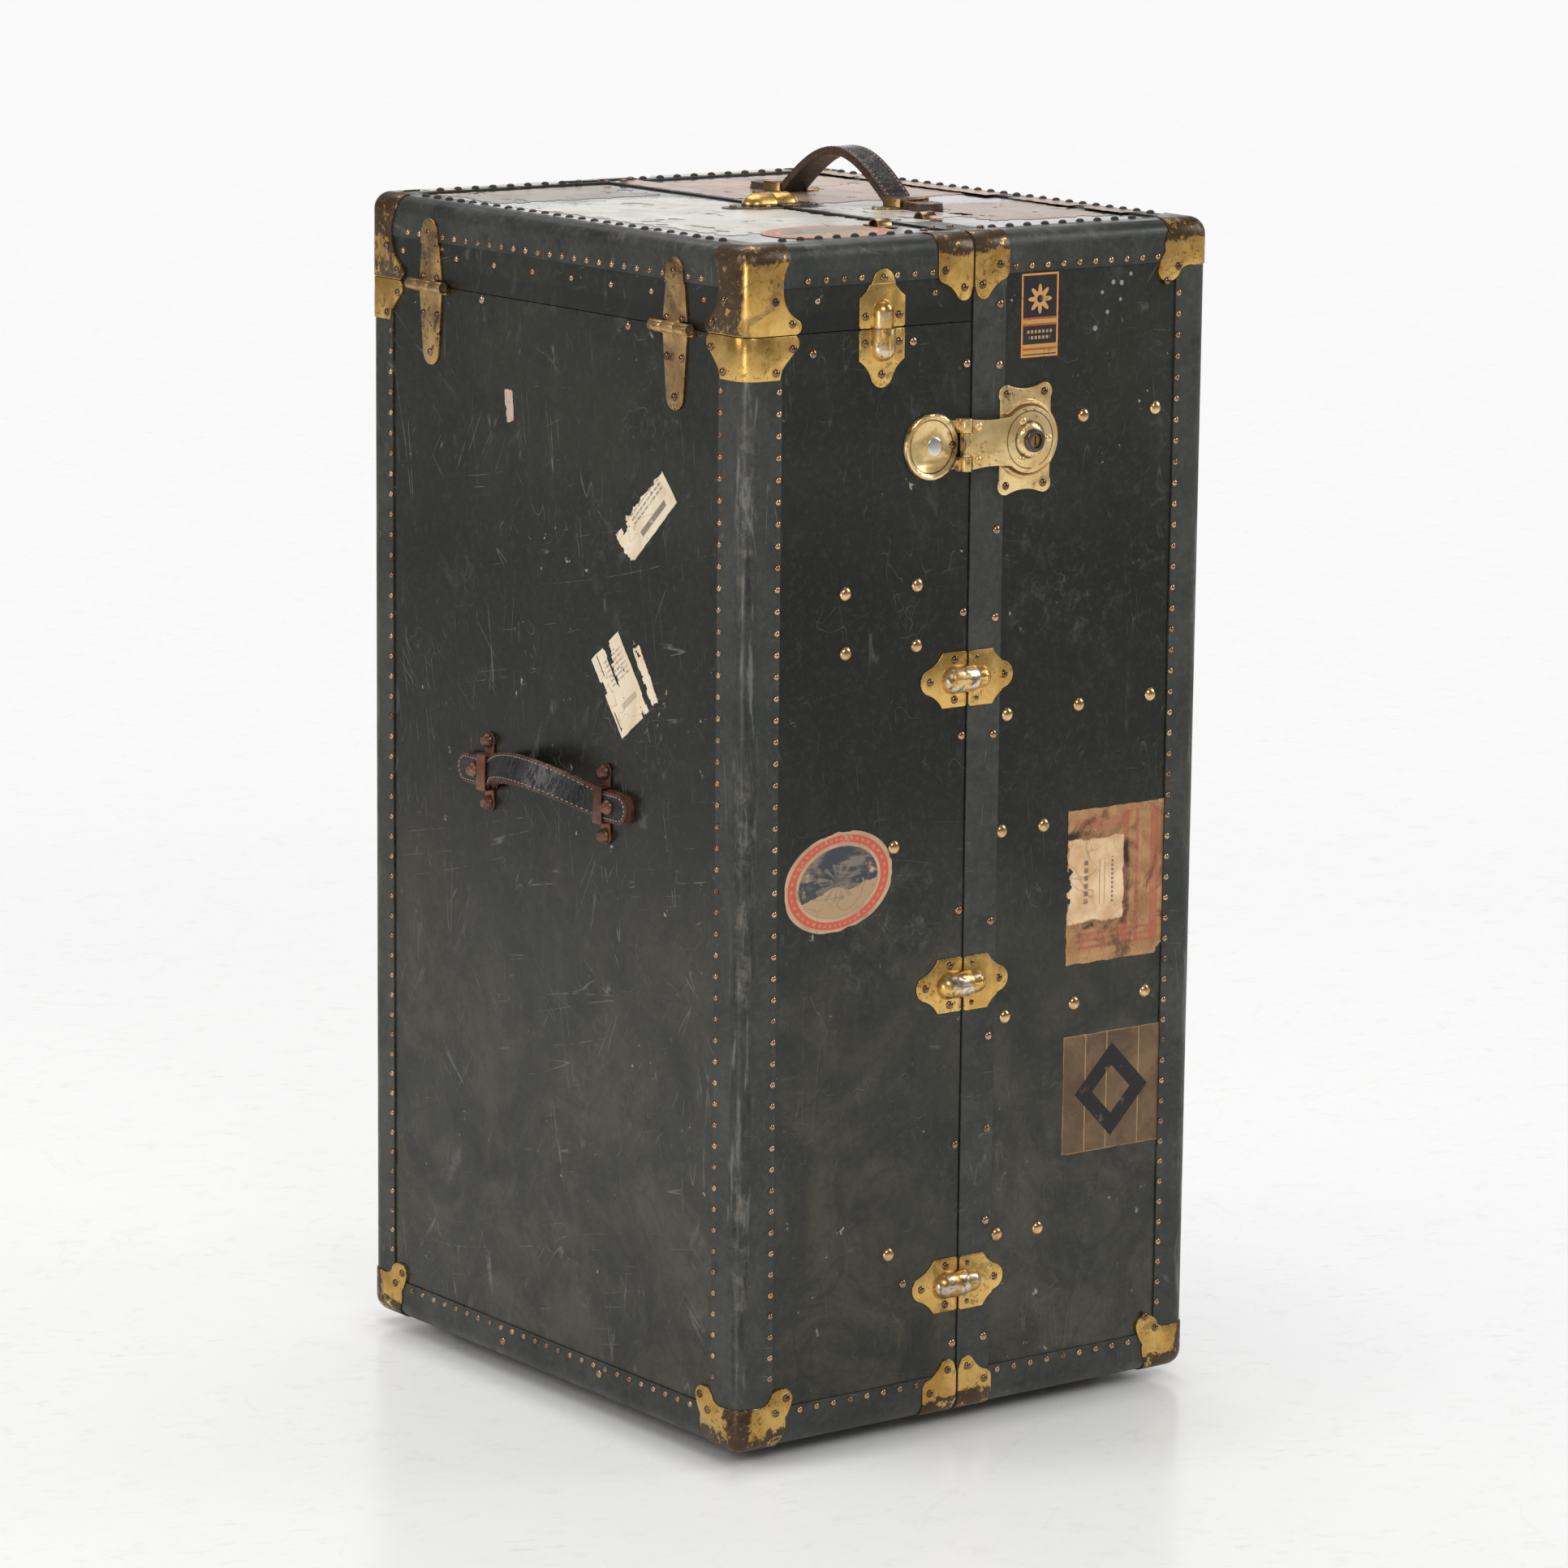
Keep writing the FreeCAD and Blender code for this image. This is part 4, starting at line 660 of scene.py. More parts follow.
def leather(name, base, worn, edges=None, grain=420, rough=(0.38, 0.66)):
    def shade(much):
        return tuple(c * much for c in base)

    hide = Finish(name, gloss=0.5)
    hide.tone = hide.blend(hide.times(hide.patch(0.38, 0.66, 30, 6, 0.65), 0.7), base, shade(1.9))
    crack = hide.times(hide.fall(hide.cells(150), 0.0, 0.05), hide.patch(0.48, 0.62, 26, 3))
    hide.lay(crack, shade(0.3), 0.5)
    folds = hide.cloud(1.0, 3, 0.6, 0.6, at=hide.shape(scale=(50, 230, 60)))
    creases = hide.hair(folds, 0.05)
    # painted shade darkens the creases
    hide.lay(creases, shade(0.4), 0.35)
    if edges:
        rub = hide.node("ShaderNodeAttribute", attribute_name=edges).outputs["Fac"]
        hide.lay(hide.times(rub, hide.patch(0.30, 0.56, 90, 5, 0.7)), worn)
    hide.put(rough=hide.patch(0.3, 0.7, 50, 4, ends=rough))
    height = hide.minus(hide.cloud(grain, 3), crack)
    height = hide.plus(height, hide.times(hide.minus(folds, creases), 1.6))
    return hide.bump(height, 0.35, 0.0006).mat


def timber(name, light, dark, along="z", ring=14.0, rough=0.5):
    wood = Finish(name, rough=rough, gloss=0.4)
    stretch = {"x": (0.06, 1, 1), "y": (1, 0.06, 1), "z": (1, 1, 0.06)}[along]
    grain = wood.cloud(ring * 6, 6, 0.6, 0.5, at=wood.shape(scale=stretch))
    wood.tone = wood.blend(wood.ramp(grain, 0.34, 0.68), light, dark)
    pores = wood.patch(0.60, 0.72, ring * 60, 3, 0.6, at=wood.shape(scale=stretch))
    wood.lay(pores, tuple(c * 0.45 for c in dark), 0.45)
    return wood.put().bump(grain, 0.15, 0.0006).mat


def drawerPaper():
    # paper with a pattern of small diamonds
    paper = Finish("drawerPaper", rough=0.68, gloss=0.3)
    _, y, z = paper.axes()
    paper.tone = paper.blend(paper.cloud(8, 5), (0.36, 0.27, 0.165), (0.50, 0.40, 0.26))
    waves = paper.calc("SINE", paper.times(paper.plus(y, z), 560))
    cross = paper.calc("SINE", paper.times(paper.minus(y, z), 560))
    paper.lay(paper.ramp(paper.times(waves, cross), 0.55, 0.68), (0.15, 0.115, 0.10), 0.75)
    return paper.put().bump(paper.cloud(140, 3), 0.12, 0.0004).mat


darkBrown = (0.036, 0.018, 0.011)
brasses = {  # bright, mellow and stain, and how it is worn
    "agedBrass": ((0.84, 0.535, 0.165), (0.60, 0.340, 0.085), darkBrown,
                  {"wear": 0.5, "edge": 16, "specks": 0.55, "metal": 0.88}),
    "lockBrass": ((0.95, 0.705, 0.345), (0.76, 0.510, 0.205), (0.16, 0.075, 0.034),
                  {"wear": 0.35, "specks": 0.6, "metal": 0.68, "rough": (0.16, 0.30),
                   "grooves": [(192, 837, 22.3, 0.6), (192, 837, 28.2, 0.9), (290, 837, 24.2, 0.5),
                               (290, 837, 15.2, 0.9)]}),
    "hingeBrass": ((0.62, 0.400, 0.165), (0.34, 0.205, 0.090), (0.040, 0.022, 0.015),
                   {"wear": 0.85, "rough": (0.26, 0.44)}),
    "rivetBrass": ((0.62, 0.395, 0.240), (0.34, 0.195, 0.115), (0.045, 0.022, 0.015),
                   {"wear": 0.85, "specks": 0.5, "rough": (0.09, 0.18)}),
    "capRivet": ((0.26, 0.170, 0.105), (0.14, 0.085, 0.055), (0.030, 0.017, 0.012),
                 {"wear": 0.85, "specks": 0.4, "rough": (0.08, 0.17)}),
    "studBrass": ((0.88, 0.590, 0.300), (0.66, 0.400, 0.190), darkBrown,
                  {"wear": 0.5, "specks": 0.5, "rough": (0.10, 0.22)}),
    "plugBrass": ((0.30, 0.190, 0.090), (0.15, 0.085, 0.040), (0.020, 0.012, 0.008), {}),
    "rustyLoop": ((0.27, 0.120, 0.070), (0.105, 0.046, 0.032), (0.030, 0.016, 0.013),
                  {"wear": 0.6, "metal": 0.7, "rough": (0.28, 0.46)}),
    "rustyBolt": ((0.30, 0.150, 0.095), (0.12, 0.060, 0.044), (0.036, 0.020, 0.016),
                  {"wear": 0.6, "metal": 0.7, "rough": (0.24, 0.42)}),
    "stapleBrass": ((0.44, 0.290, 0.150), (0.20, 0.125, 0.070), (0.035, 0.024, 0.018),
                    {"wear": 0.9, "rough": (0.24, 0.40)}),
    "topLoop": ((0.60, 0.370, 0.135), (0.33, 0.185, 0.065), darkBrown, {}),
}
metals = {name: agedBrass(name, *tones, **worn) for name, (*tones, worn) in brasses.items()}
darkOnTop(metals["topLoop"], (0.030, 0.021, 0.017))
darkSteel = wornSteel("darkSteel", (0.050, 0.046, 0.044), (0.055, 0.030, 0.020), 0.5)

finishes = {  # slot name of the solids: finish
    "painted_fibre": paintedFibre(),
    "fibre_binding": bindingFibre(),
    "pressed_brass": metals["agedBrass"].mat,
    "hinge_metal": metals["hingeBrass"].mat,
    "hinge_pin": wornSteel("pinSteel", (0.20, 0.17, 0.14), (0.11, 0.055, 0.030), 0.5),
    "lock_brass": metals["lockBrass"].mat,
    "lock_steel": wornSteel("lockSteel", (0.135, 0.115, 0.095), (0.05, 0.028, 0.018), 0.35, rough=0.28),
    "lock_plug": metals["plugBrass"].mat,
    "side_handle_leather": leather("blackLeather", (0.012, 0.011, 0.012), (0.115, 0.042, 0.024), "edgeWear",
                                   rough=(0.20, 0.36)),
    "top_handle_leather": leather("brownLeather", (0.017, 0.012, 0.010), (0.075, 0.038, 0.024), "edgeWear",
                                  rough=(0.20, 0.38)),
    "handle_loop": metals["rustyLoop"].mat,
    "top_handle_loop": metals["topLoop"].mat,
    "handle_bolt": metals["rustyBolt"].mat,
    "dark_staple": metals["stapleBrass"].mat,
    "plated_steel": wornSteel("platedSteel", (0.48, 0.46, 0.43), (0.17, 0.10, 0.06), 0.2, rough=0.28),
    "trolley_steel": wornSteel("trolleySteel", (0.30, 0.29, 0.28), (0.13, 0.08, 0.05), 0.25, rough=0.36),
    "hanger_wood": timber("hangerWood", (0.44, 0.255, 0.115), (0.28, 0.140, 0.058), "x"),
    "runner_wood": timber("runnerWood", (0.34, 0.215, 0.115), (0.20, 0.110, 0.052), "y"),
    "carcass_board": timber("carcassBoard", (0.33, 0.215, 0.120), (0.21, 0.125, 0.066), "z", rough=0.6),
    "slide_wood": timber("slideWood", (0.36, 0.230, 0.125), (0.22, 0.125, 0.060), "x"),
    "drawer_wood": drawerPaper(),
    "pull_leather": leather("pullLeather", (0.105, 0.045, 0.020), (0.2, 0.1, 0.05)),
}


def dressSlots():
    # the frame's own nodes, and copies of them, get the finish that their slot names
    for obj in [o for o in bpy.data.objects if o.type == "MESH"]:
        for place in obj.material_slots:
            slotName = place.material.name.split(".")[0] if place.material else ""
            if slotName in finishes:
                place.material = finishes[slotName]


# rivets and studs, each kind one pressed head copied

heads = {
    "binding": {"radius": 2.9, "height": 1.7, "finish": metals["rivetBrass"].mat},
    "fitting": {"radius": 3.6, "height": 2.2, "finish": metals["capRivet"].mat},
    "stud": {"radius": 6.0, "height": 3.0, "finish": metals["studBrass"].mat},
    "small": {"radius": 3.9, "height": 2.1, "finish": metals["rivetBrass"].mat},
    "dark": {"radius": 3.7, "height": 2.6, "finish": darkSteel},
}
# how far out each surface lies, in mm
onPanel, onBinding, onPlate, onCap, onLeaf = -fibre, 0.0, -0.3, 1.2, 0.7


def inOrder(ball):
    # the ball operator lists its faces in another order each run, and starts the underside anywhere
    spots = [tuple(spot.co) for spot in ball.data.vertices]
    faces = []
    for face in ball.data.polygons:
        corners = list(face.vertices)
        first = corners.index(min(corners)) if len(corners) > 4 else 0
        faces.append(corners[first:] + corners[:first])
    ball.data.clear_geometry()
    ball.data.from_pydata(spots, [], sorted(faces))


def makeHead(name, radius, height, segments=12, rings=8):
    # the upper part of a ball, wide and low, with a closed underside
    nothingSelected()
    bpy.ops.mesh.primitive_uv_sphere_add(segments=segments, ring_count=rings, radius=radius * mm)
    head = bpy.context.object
    head.name = name
    editAll()
    cut = (0, 0, -radius * mm * 0.1)
    bpy.ops.mesh.bisect(plane_co=cut, plane_no=(0, 0, 1), clear_inner=True, use_fill=True)
    bpy.ops.object.mode_set(mode="OBJECT")
    head.scale = (1, 1, height / radius)
    scaleIntoMesh()
    inOrder(head)
    bpy.ops.object.shade_smooth_by_angle(angle=math.radians(40))
    return head


rivetRows = {  # mm
    "pitch": 18.0,
    "inset": 34,  # the upright rows, from the trunk's edges
    "level": 30,  # the level rows, from the top and the underside
    "caps": 62,  # where rows begin and end, past the corner caps
    "halfCaps": (58, 66),  # the same at the drawer half's smaller caps, above and below
    "clips": (190, 278),  # left out for the edge clips beside the split
    "underSeam": 46,  # left out for the caps below the lid's seam
    "dowel": (127, 151),  # left out under the lid's dowel
    "hinges": [(84, 114), (448, 478)],  # and under the lid's hinges
}


def row(face, along, start, end, fixed, skip=()):
    # equal steps between two ends, leaving out stretches under other fittings
    count = max(1, round(abs(end - start) / rivetRows["pitch"]))
    steps = [start + (end - start) * i / count for i in range(count + 1)]
    steps = [s for s in steps if not any(low < s < far for low, far in skip)]
    return [(face, s, fixed) if along == "u" else (face, fixed, s) for s in steps]


def bindingRivets():
    inset, level, low = rivetRows["inset"], rivetRows["level"], rivetRows["caps"]
    upper, underSeam = high - low, seam - rivetRows["underSeam"]
    (clipStart, clipEnd), (capAbove, capBelow) = rivetRows["clips"], rivetRows["halfCaps"]
    places = []
    for face in ("front", "back"):
        dowel = [rivetRows["dowel"]] if face == "front" else []
        places += row(face, "v", low, underSeam, inset)
        places += row(face, "v", low, upper, wide - inset)
        places += row(face, "u", low, clipStart, high - level, dowel)
        places += row(face, "u", clipEnd, wide - capAbove, high - level)
        places += row(face, "u", capBelow, clipStart, level)
        places += row(face, "u", clipEnd, wide - capBelow, level)
    for face in ("left", "right"):
        hinges = rivetRows["hinges"] if face == "left" else []
        for inward in (inset, deep - inset):
            places += row(face, "v", low, underSeam if face == "left" else upper, inward)
        places += row(face, "u", low, deep - low, high - level, hinges)
        places += row(face, "u", capBelow, deep - capBelow, level)
    return [(*place, onBinding) for place in places]


def topRivets():
    start = 60
    clipStart, clipEnd = rivetRows["clips"]
    places = row("top", "v", start, deep - start, 20) + row("top", "v", start, deep - start, wide - 17)
    for inward in (33, deep - 22):
        places += row("top", "u", start, clipStart, inward)
        places += row("top", "u", clipEnd, wide - start, inward)
    return [(*place, onBinding) for place in places]


def capRivets():
    # two through each ear of the corner caps, two through each edge clip
    ears = {
        "lid": [(46, 64), (29, 45)],
        "seam": [(47, high - 928), (30, high - 909)],
        "foot": [(51, high - 43), (40, high - 31.5)],
        "half": [(36, 39), (48, 51)],
        "halfFoot": [(36, high - 39), (48, high - 51)],
    }
    clips = [(203, 29), (223, 44), (261, 27), (242, 43), (223, high - 39), (204, high - 21), (244, high - 39),
             (263, high - 25)]
    places = []
    for face in ("front", "back"):
        places += [(face, u, high - v) for kind in ("lid", "seam", "foot") for u, v in ears[kind]]
        places += [(face, wide - u, high - v) for kind in ("half", "halfFoot") for u, v in ears[kind]]
        places += [(face, u, high - v) for u, v in clips]
    for face, kinds in (("left", ("lid", "seam", "foot")), ("right", ("half", "halfFoot"))):
        for kind in kinds:
            places += [(face, inward, high - v) for u, v in ears[kind] for inward in (u, deep - u)]
    for u, v in clips[:4]:
        places += [("top", u, v), ("top", u, deep - v)]
    return [(*place, onCap) for place in places]


fittings = {  # middles of the fittings along their face, in mm
    "lidHinges": (98, 462),
    "lidDowel": 139,
    "splitDowels": (114, 376.25, 638.5),
    "topDowel": 285,
    "mainHinges": (150, 500, 850),
}
# places across, and up from the middle
dowelHoles = ((220, 17), (194, 0), (220, -17), (242.5, 17), (273, 0), (242.5, -17))
hingeHoles = ((216, 20, onLeaf), (198, 13, onLeaf), (250, 20, onLeaf + fibre), (263, 13, onLeaf + fibre))


def plateRivets():
    places = []
    for middle in fittings["lidHinges"]:
        places += [("left", middle, 985, onLeaf + fibre), ("left", middle, 881, onLeaf)]
        places += [("left", middle + side * 10.5, v, onLeaf) for side in (-1, 1) for v in (914, 946)]
    middle = fittings["lidDowel"]
    places += [("front", middle, 981, onCap), ("front", middle, 901, onPlate)]
    places += [("front", middle + side * 17.5, v, onPlate) for side in (-1, 1) for v in (927.5, 949.5)]
    for middle in fittings["splitDowels"]:
        places += [("front", u, middle + rise, onPlate) for u, rise in dowelHoles]
    places += [("top", u, fittings["topDowel"] + rise, onPlate) for u, rise in dowelHoles]
    for middle in fittings["mainHinges"]:
        places += [("back", u, middle + side * rise, out) for side in (-1, 1) for u, rise, out in hingeHoles]
    places += [("front", 214, 837, onPlate)]  # the hasp's plate, and the lock's base
    return places + [("front", u, v, onCap) for u in (270, 310) for v in (876, 798.5)]


def studs():
    wardrobe = [(105, 721), (180, 722), (106, 671), (180, 671), (159, 502), (159, 150)]
    drawers = [(355, 852), (434, 853), (356, 604), (435, 605), (320, 503), (357, 343), (436, 344), (321, 149),
               (278, 603), (274, 503), (281, 341), (276, 150)]
    return [("front", u, v, onPanel) for u, v in wardrobe + drawers]


def smallStuds():
    # along the split, and the lid's own
    band = [952, 901, 762, 688, 588, 427, 327, 246, 165, 62]
    strip = [904, 695, 590, 440, 236, 61]
    beside = [(69, 922), (172, 926), (175, 122)]
    places = [("front", 262, v, onBinding) for v in band] + [("front", 229, v, onPanel) for v in strip]
    places += [("front", u, v, onPanel) for u, v in beside]
    places += [("left", u, v, onPanel) for u, v in ((385, 934), (167, 933))]
    return places + [("left", 348, 18, onBinding), ("left", 200, 24, onBinding)]


def lidRow():
    places = [("front", 73, 965), ("front", 194, 965)]
    places += [("left", u, 965) for u in (60, 134, 192, 250, 308, 366, 424, 508)]
    return [(*place, onPanel) for place in places]


def addRivets(kind, places):
    facts = heads[kind]
    master = makeHead(kind + "Head", facts["radius"], facts["height"])
    for body in ("wardrobe_half", "lid", "drawer_half"):
        mine = [onFace(face, u, v, out) for face, u, v, out in places if bodyAt(face, u, v) == body]
        if mine:
            repeated(master, kind + "Rivets_" + body, mine, body, facts["finish"])
    if kind == "small":
        flap = [(235, 852), (235, 824), (282, 853), (310, 837), (281, 821)]
        repeated(master, "flapRivets", [onFace("front", u, v, 8.0) for u, v in flap], "hasp",
                 metals["lockBrass"].mat)
    bpy.data.objects.remove(master)


addRivets("binding", bindingRivets() + lidRow())
addRivets("dark", topRivets())
addRivets("fitting", capRivets() + plateRivets())
addRivets("stud", studs())
addRivets("small", smallStuds())
print("rivets and studs are in")


# handles: two layers of leather each, and their stitches

sideHandle = {"place": (282, 525), "turn": 0, "span": 176, "tab": 40, "out": 36, "lift": 16, "thick": 9,
              "hide": "side_handle_leather"}
handles = {  # in mm: span between the loops, tab beyond them, how far the arch stands out and is lifted
    "left": {**sideHandle, "face": "left", "body": "wardrobe_half"},
    "right": {**sideHandle, "face": "right", "body": "drawer_half"},
    "top": {"place": (327, 301), "turn": 90, "span": 174, "tab": 44, "out": 47, "lift": 0, "thick": 7,
            "hide": "top_handle_leather", "face": "top", "body": "drawer_half"},
}
strapWidth = 27.0
stitching = {"inset": 3.4, "pitch": 4.0, "aroundTip": 7, "halfSize": (1.5, 0.5, 0.5)}


def alongStrap(facts, run, side, height):
    # a point of the strap: flat under the loops, arched and leaning between them
    arch = facts["span"] / 2 - 10
    share = min(1.0, abs(run) / arch)
    rise = math.cos(share * math.pi / 2)
    reach = facts["out"] - facts["thick"]
    slope = math.atan(facts["out"] * math.sin(share * math.pi / 2) * math.pi / 2 / arch) if share < 1 else 0.0
    slope = math.copysign(slope, run)
    lean = math.radians(facts["lift"] * rise * 1.5)
    across = side * math.cos(lean) + height * math.sin(lean)
    outward = height * math.cos(lean) - side * math.sin(lean)
    return Vector((run + outward * math.sin(slope), facts["lift"] * rise + across,
                   reach * rise + outward * math.cos(slope)))


def makeStrap(name, facts, low, upper, width, inset):
    # one layer of the leather: a slab with round tips and soft edges, then laid along the arch
    half = facts["span"] / 2 + facts["tab"] - inset

    def tipShare(run):
        return max(0.0, (abs(run) - (half - width / 2)) / (width / 2))

    nothingSelected()
    bpy.ops.mesh.primitive_grid_add(x_subdivisions=150, y_subdivisions=14, size=1)
    strap = bpy.context.object
    for vertex in strap.data.vertices:
        run = vertex.co.x * 2 * half
        breadth = math.sqrt(max(0.0, 1 - (tipShare(run) * 0.985) ** 2))
        vertex.co = (run, vertex.co.y * width * breadth, low)
    finishWith(strap, "SOLIDIFY", thickness=upper - low, offset=1)
    finishWith(strap, "BEVEL", width=1.1, segments=3, angle_limit=50)
    wear = strap.data.attributes.new("edgeWear", "FLOAT", "POINT")
    for vertex in strap.data.vertices:
        run, side, height = vertex.co
        reach = math.hypot(side / (width / 2), tipShare(run))
        wear.data[vertex.index].value = min(1.0, max(0.0, (reach - 0.80) / 0.2))
        vertex.co = alongStrap(facts, run, side, height) * mm
    strap.name = name
    return strap


def makeStitch():
    nothingSelected()
    bpy.ops.mesh.primitive_uv_sphere_add(segments=6, ring_count=4, radius=1)
    stitch = bpy.context.object
    stitch.scale = [half * mm for half in stitching["halfSize"]]
    scaleIntoMesh()
    inOrder(stitch)
    bpy.ops.object.shade_smooth()
    return stitch


def stitchPlaces(facts, height):
    # two rows along the edges, and round the tips
    inset, pitch, turns = stitching["inset"], stitching["pitch"], stitching["aroundTip"]
    half, side = facts["span"] / 2 + facts["tab"] - inset, strapWidth / 2 - inset
    straight = half - side
    places = []
    for number in range(round(2 * straight / pitch) + 1):
        run = -straight + number * pitch
        for edge in (-side, side):
            spot = alongStrap(facts, run, edge, height)
            ahead = alongStrap(facts, run + 1, edge, height) - alongStrap(facts, run - 1, edge, height)
            places.append((spot, ahead, alongStrap(facts, run, edge, height + 1) - spot))
    for end in (-1, 1):
        for number in range(1, turns + 1):
            angle = math.pi * (number / (turns + 1) - 0.5)
            spot = Vector((end * (straight + side * math.cos(angle)), side * math.sin(angle), height))
            places.append((spot, Vector((-end * math.sin(angle), math.cos(angle), 0)), Vector((0, 0, 1))))
    frames = []
    for spot, ahead, up in places:
        ahead = ahead.normalized()
        sideways = up.cross(ahead).normalized()
        stand = Matrix((ahead, sideways, ahead.cross(sideways))).transposed().to_4x4()
        frames.append(Matrix.Translation(spot * mm) @ stand)
    return frames


thread = Finish("waxedThread", rough=0.6)
thread.tone = thread.blend(thread.cloud(90, 4), (0.30, 0.215, 0.13), (0.52, 0.41, 0.28))
thread.put()


def makeHandle(key):
    facts = handles[key]
    stand = onFace(facts["face"], *facts["place"], onPanel, facts["turn"])
    node = key + "_handle_leather"
    middle = facts["thick"] * 0.55
    under = makeStrap(key + "HandleUnder", facts, 0, middle, strapWidth, 0)
    over = makeStrap(key + "HandleOver", facts, middle - 0.1, facts["thick"], strapWidth - 1.2, 0.6)
    for layer in (under, over):
        layer.matrix_world = stand
        settle(layer, layer.name, facts["body"], finishes[facts["hide"]])
        alone(layer)
        bpy.ops.object.shade_smooth_by_angle(angle=math.radians(50))
    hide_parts(node)
    stitch = makeStitch()
    places = [stand @ place for place in stitchPlaces(facts, facts["thick"])]
    repeated(stitch, key + "HandleStitches", places, facts["body"], thread.mat)
    bpy.data.objects.remove(stitch)


for key in handles:
    makeHandle(key)
print("handles are in")


# softened copies of the sheet metal, so that its edges catch the light

softBevel = 0.3  # mm
otherBevels = {"hasp_flap": 0.45, "lock_base": 0.4, "left_handle_loops": 0.6, "right_handle_loops": 0.6,
               "top_handle_loops": 0.5}
softened = [
    "hasp_flap", "hasp_plate", "lock_base", "lock_housing", "lock_plug",
    "lid_dowel_hood", "lid_dowel_tongue", "split_dowel_hoods", "split_dowel_tongues",
    "top_dowel_lid_plate", "top_dowel_half_plate",
    "lid_hinge_lower_leaves", "lid_hinge_upper_leaves",
    "main_hinge_wardrobe_leaves", "main_hinge_drawer_leaves",
    "lid_corner_caps", "wardrobe_seam_caps", "wardrobe_foot_caps", "drawer_half_corner_caps",
    "wardrobe_edge_clips", "lid_edge_clips", "drawer_half_edge_clips",
    "left_handle_loops", "right_handle_loops", "top_handle_loops", "left_handle_bolts", "right_handle_bolts",
    "lid_staple", "drawer_half_staple",
]


def soften(node, width):
    source = nodes[node]
    twin = bpy.data.objects.new(node + "_soft", source.data.copy())
    bpy.context.collection.objects.link(twin)
    alone(twin)
    editAll()
    bpy.ops.mesh.remove_doubles(threshold=0.01 * mm)
    bpy.ops.mesh.dissolve_limited(angle_limit=math.radians(1))
    bpy.ops.object.mode_set(mode="OBJECT")
    finishWith(twin, "BEVEL", width=width * mm, segments=2, angle_limit=40)
    bpy.ops.object.shade_smooth_by_angle(angle=math.radians(35))
    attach(twin, source["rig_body"])
    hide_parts(node)


for node in softened:
    soften(node, otherBevels.get(node, softBevel))
print("sheet metal is softened")


# paper labels, torn and stained, with plain printed shapes

class Print(Finish):
    # printed paper; u and v are millimetres from the middle of the label
    def __init__(self, name, size, paper, aged, rough=0.5):
        super().__init__(name, rough=rough, gloss=0.45)
        across, up, _ = self.axes(self.node("ShaderNodeTexCoord").outputs["UV"])
        self.u = self.times(self.minus(across, 0.5), size[0])
        self.v = self.times(self.minus(up, 0.5), size[1])
        self.tone = self.blend(self.patch(0.34, 0.68, 22, 6, 0.66, 0.5), paper, aged)

    def bar(self, value, middle, half, soft=0.25):
        return self.fall(self.gap(value, middle), half - soft, half + soft)

    def box(self, u, v, wide, tall, soft=0.25):
        return self.times(self.bar(self.u, u, wide / 2, soft), self.bar(self.v, v, tall / 2, soft))

    def along(self, value, middle, half):
        # 1 and -1 at the two ends of a stretch
        return self.calc("DIVIDE", self.minus(value, middle), half)

    def reach(self, wide, tall):
        # 1 on an ellipse of that size round the middle
        across = self.calc("POWER", self.along(self.u, 0, wide / 2), 2)
        up = self.calc("POWER", self.along(self.v, 0, tall / 2), 2)
        return self.calc("SQRT", self.plus(across, up))

    def inside(self, reach):
        return self.fall(reach, 0.98, 1.02)

    def ring(self, reach, start, end, soft=0.01):
        return self.times(self.ramp(reach, start, start + soft), self.fall(reach, end, end + soft))

    def wave(self, value, pitch, share=0.5, soft=0.08):
        # stripes of a given pitch; share is the printed part
        phase = self.calc("PINGPONG", value, pitch / 2)
        return self.fall(phase, pitch / 2 * (share - soft), pitch / 2 * (share + soft))

    def paint(self, mask, colour, strength=1.0):
        # ink that has worn through in places
        return self.lay(self.times(mask, self.patch(0.30, 0.44, 75, 5, 0.7)), colour, strength)

    def stain(self, colour, low=0.55, scale=16, strength=0.8):
        return self.lay(self.patch(low, low + 0.13, scale, 7, 0.7, 0.8), colour, strength)

    def done(self):
        creases = self.hair(self.cloud(13, 2, 0.5, 1.4), 0.006)
        # painted shade, with some dirt, darkens the creases
        self.lay(creases, (0.05, 0.04, 0.03), 0.35).put()
        return self.bump(self.plus(self.cloud(60, 5), creases), 0.25, 0.0004).mat


kraft, kraftAged = (0.56, 0.300, 0.130), (0.310, 0.145, 0.062)
cream, creamAged = (0.90, 0.78, 0.59), (0.74, 0.59, 0.40)
inkBlack, inkRed = (0.018, 0.016, 0.015), (0.44, 0.085, 0.060)
inkOrange, inkGold = (0.74, 0.30, 0.085), (0.56, 0.33, 0.07)


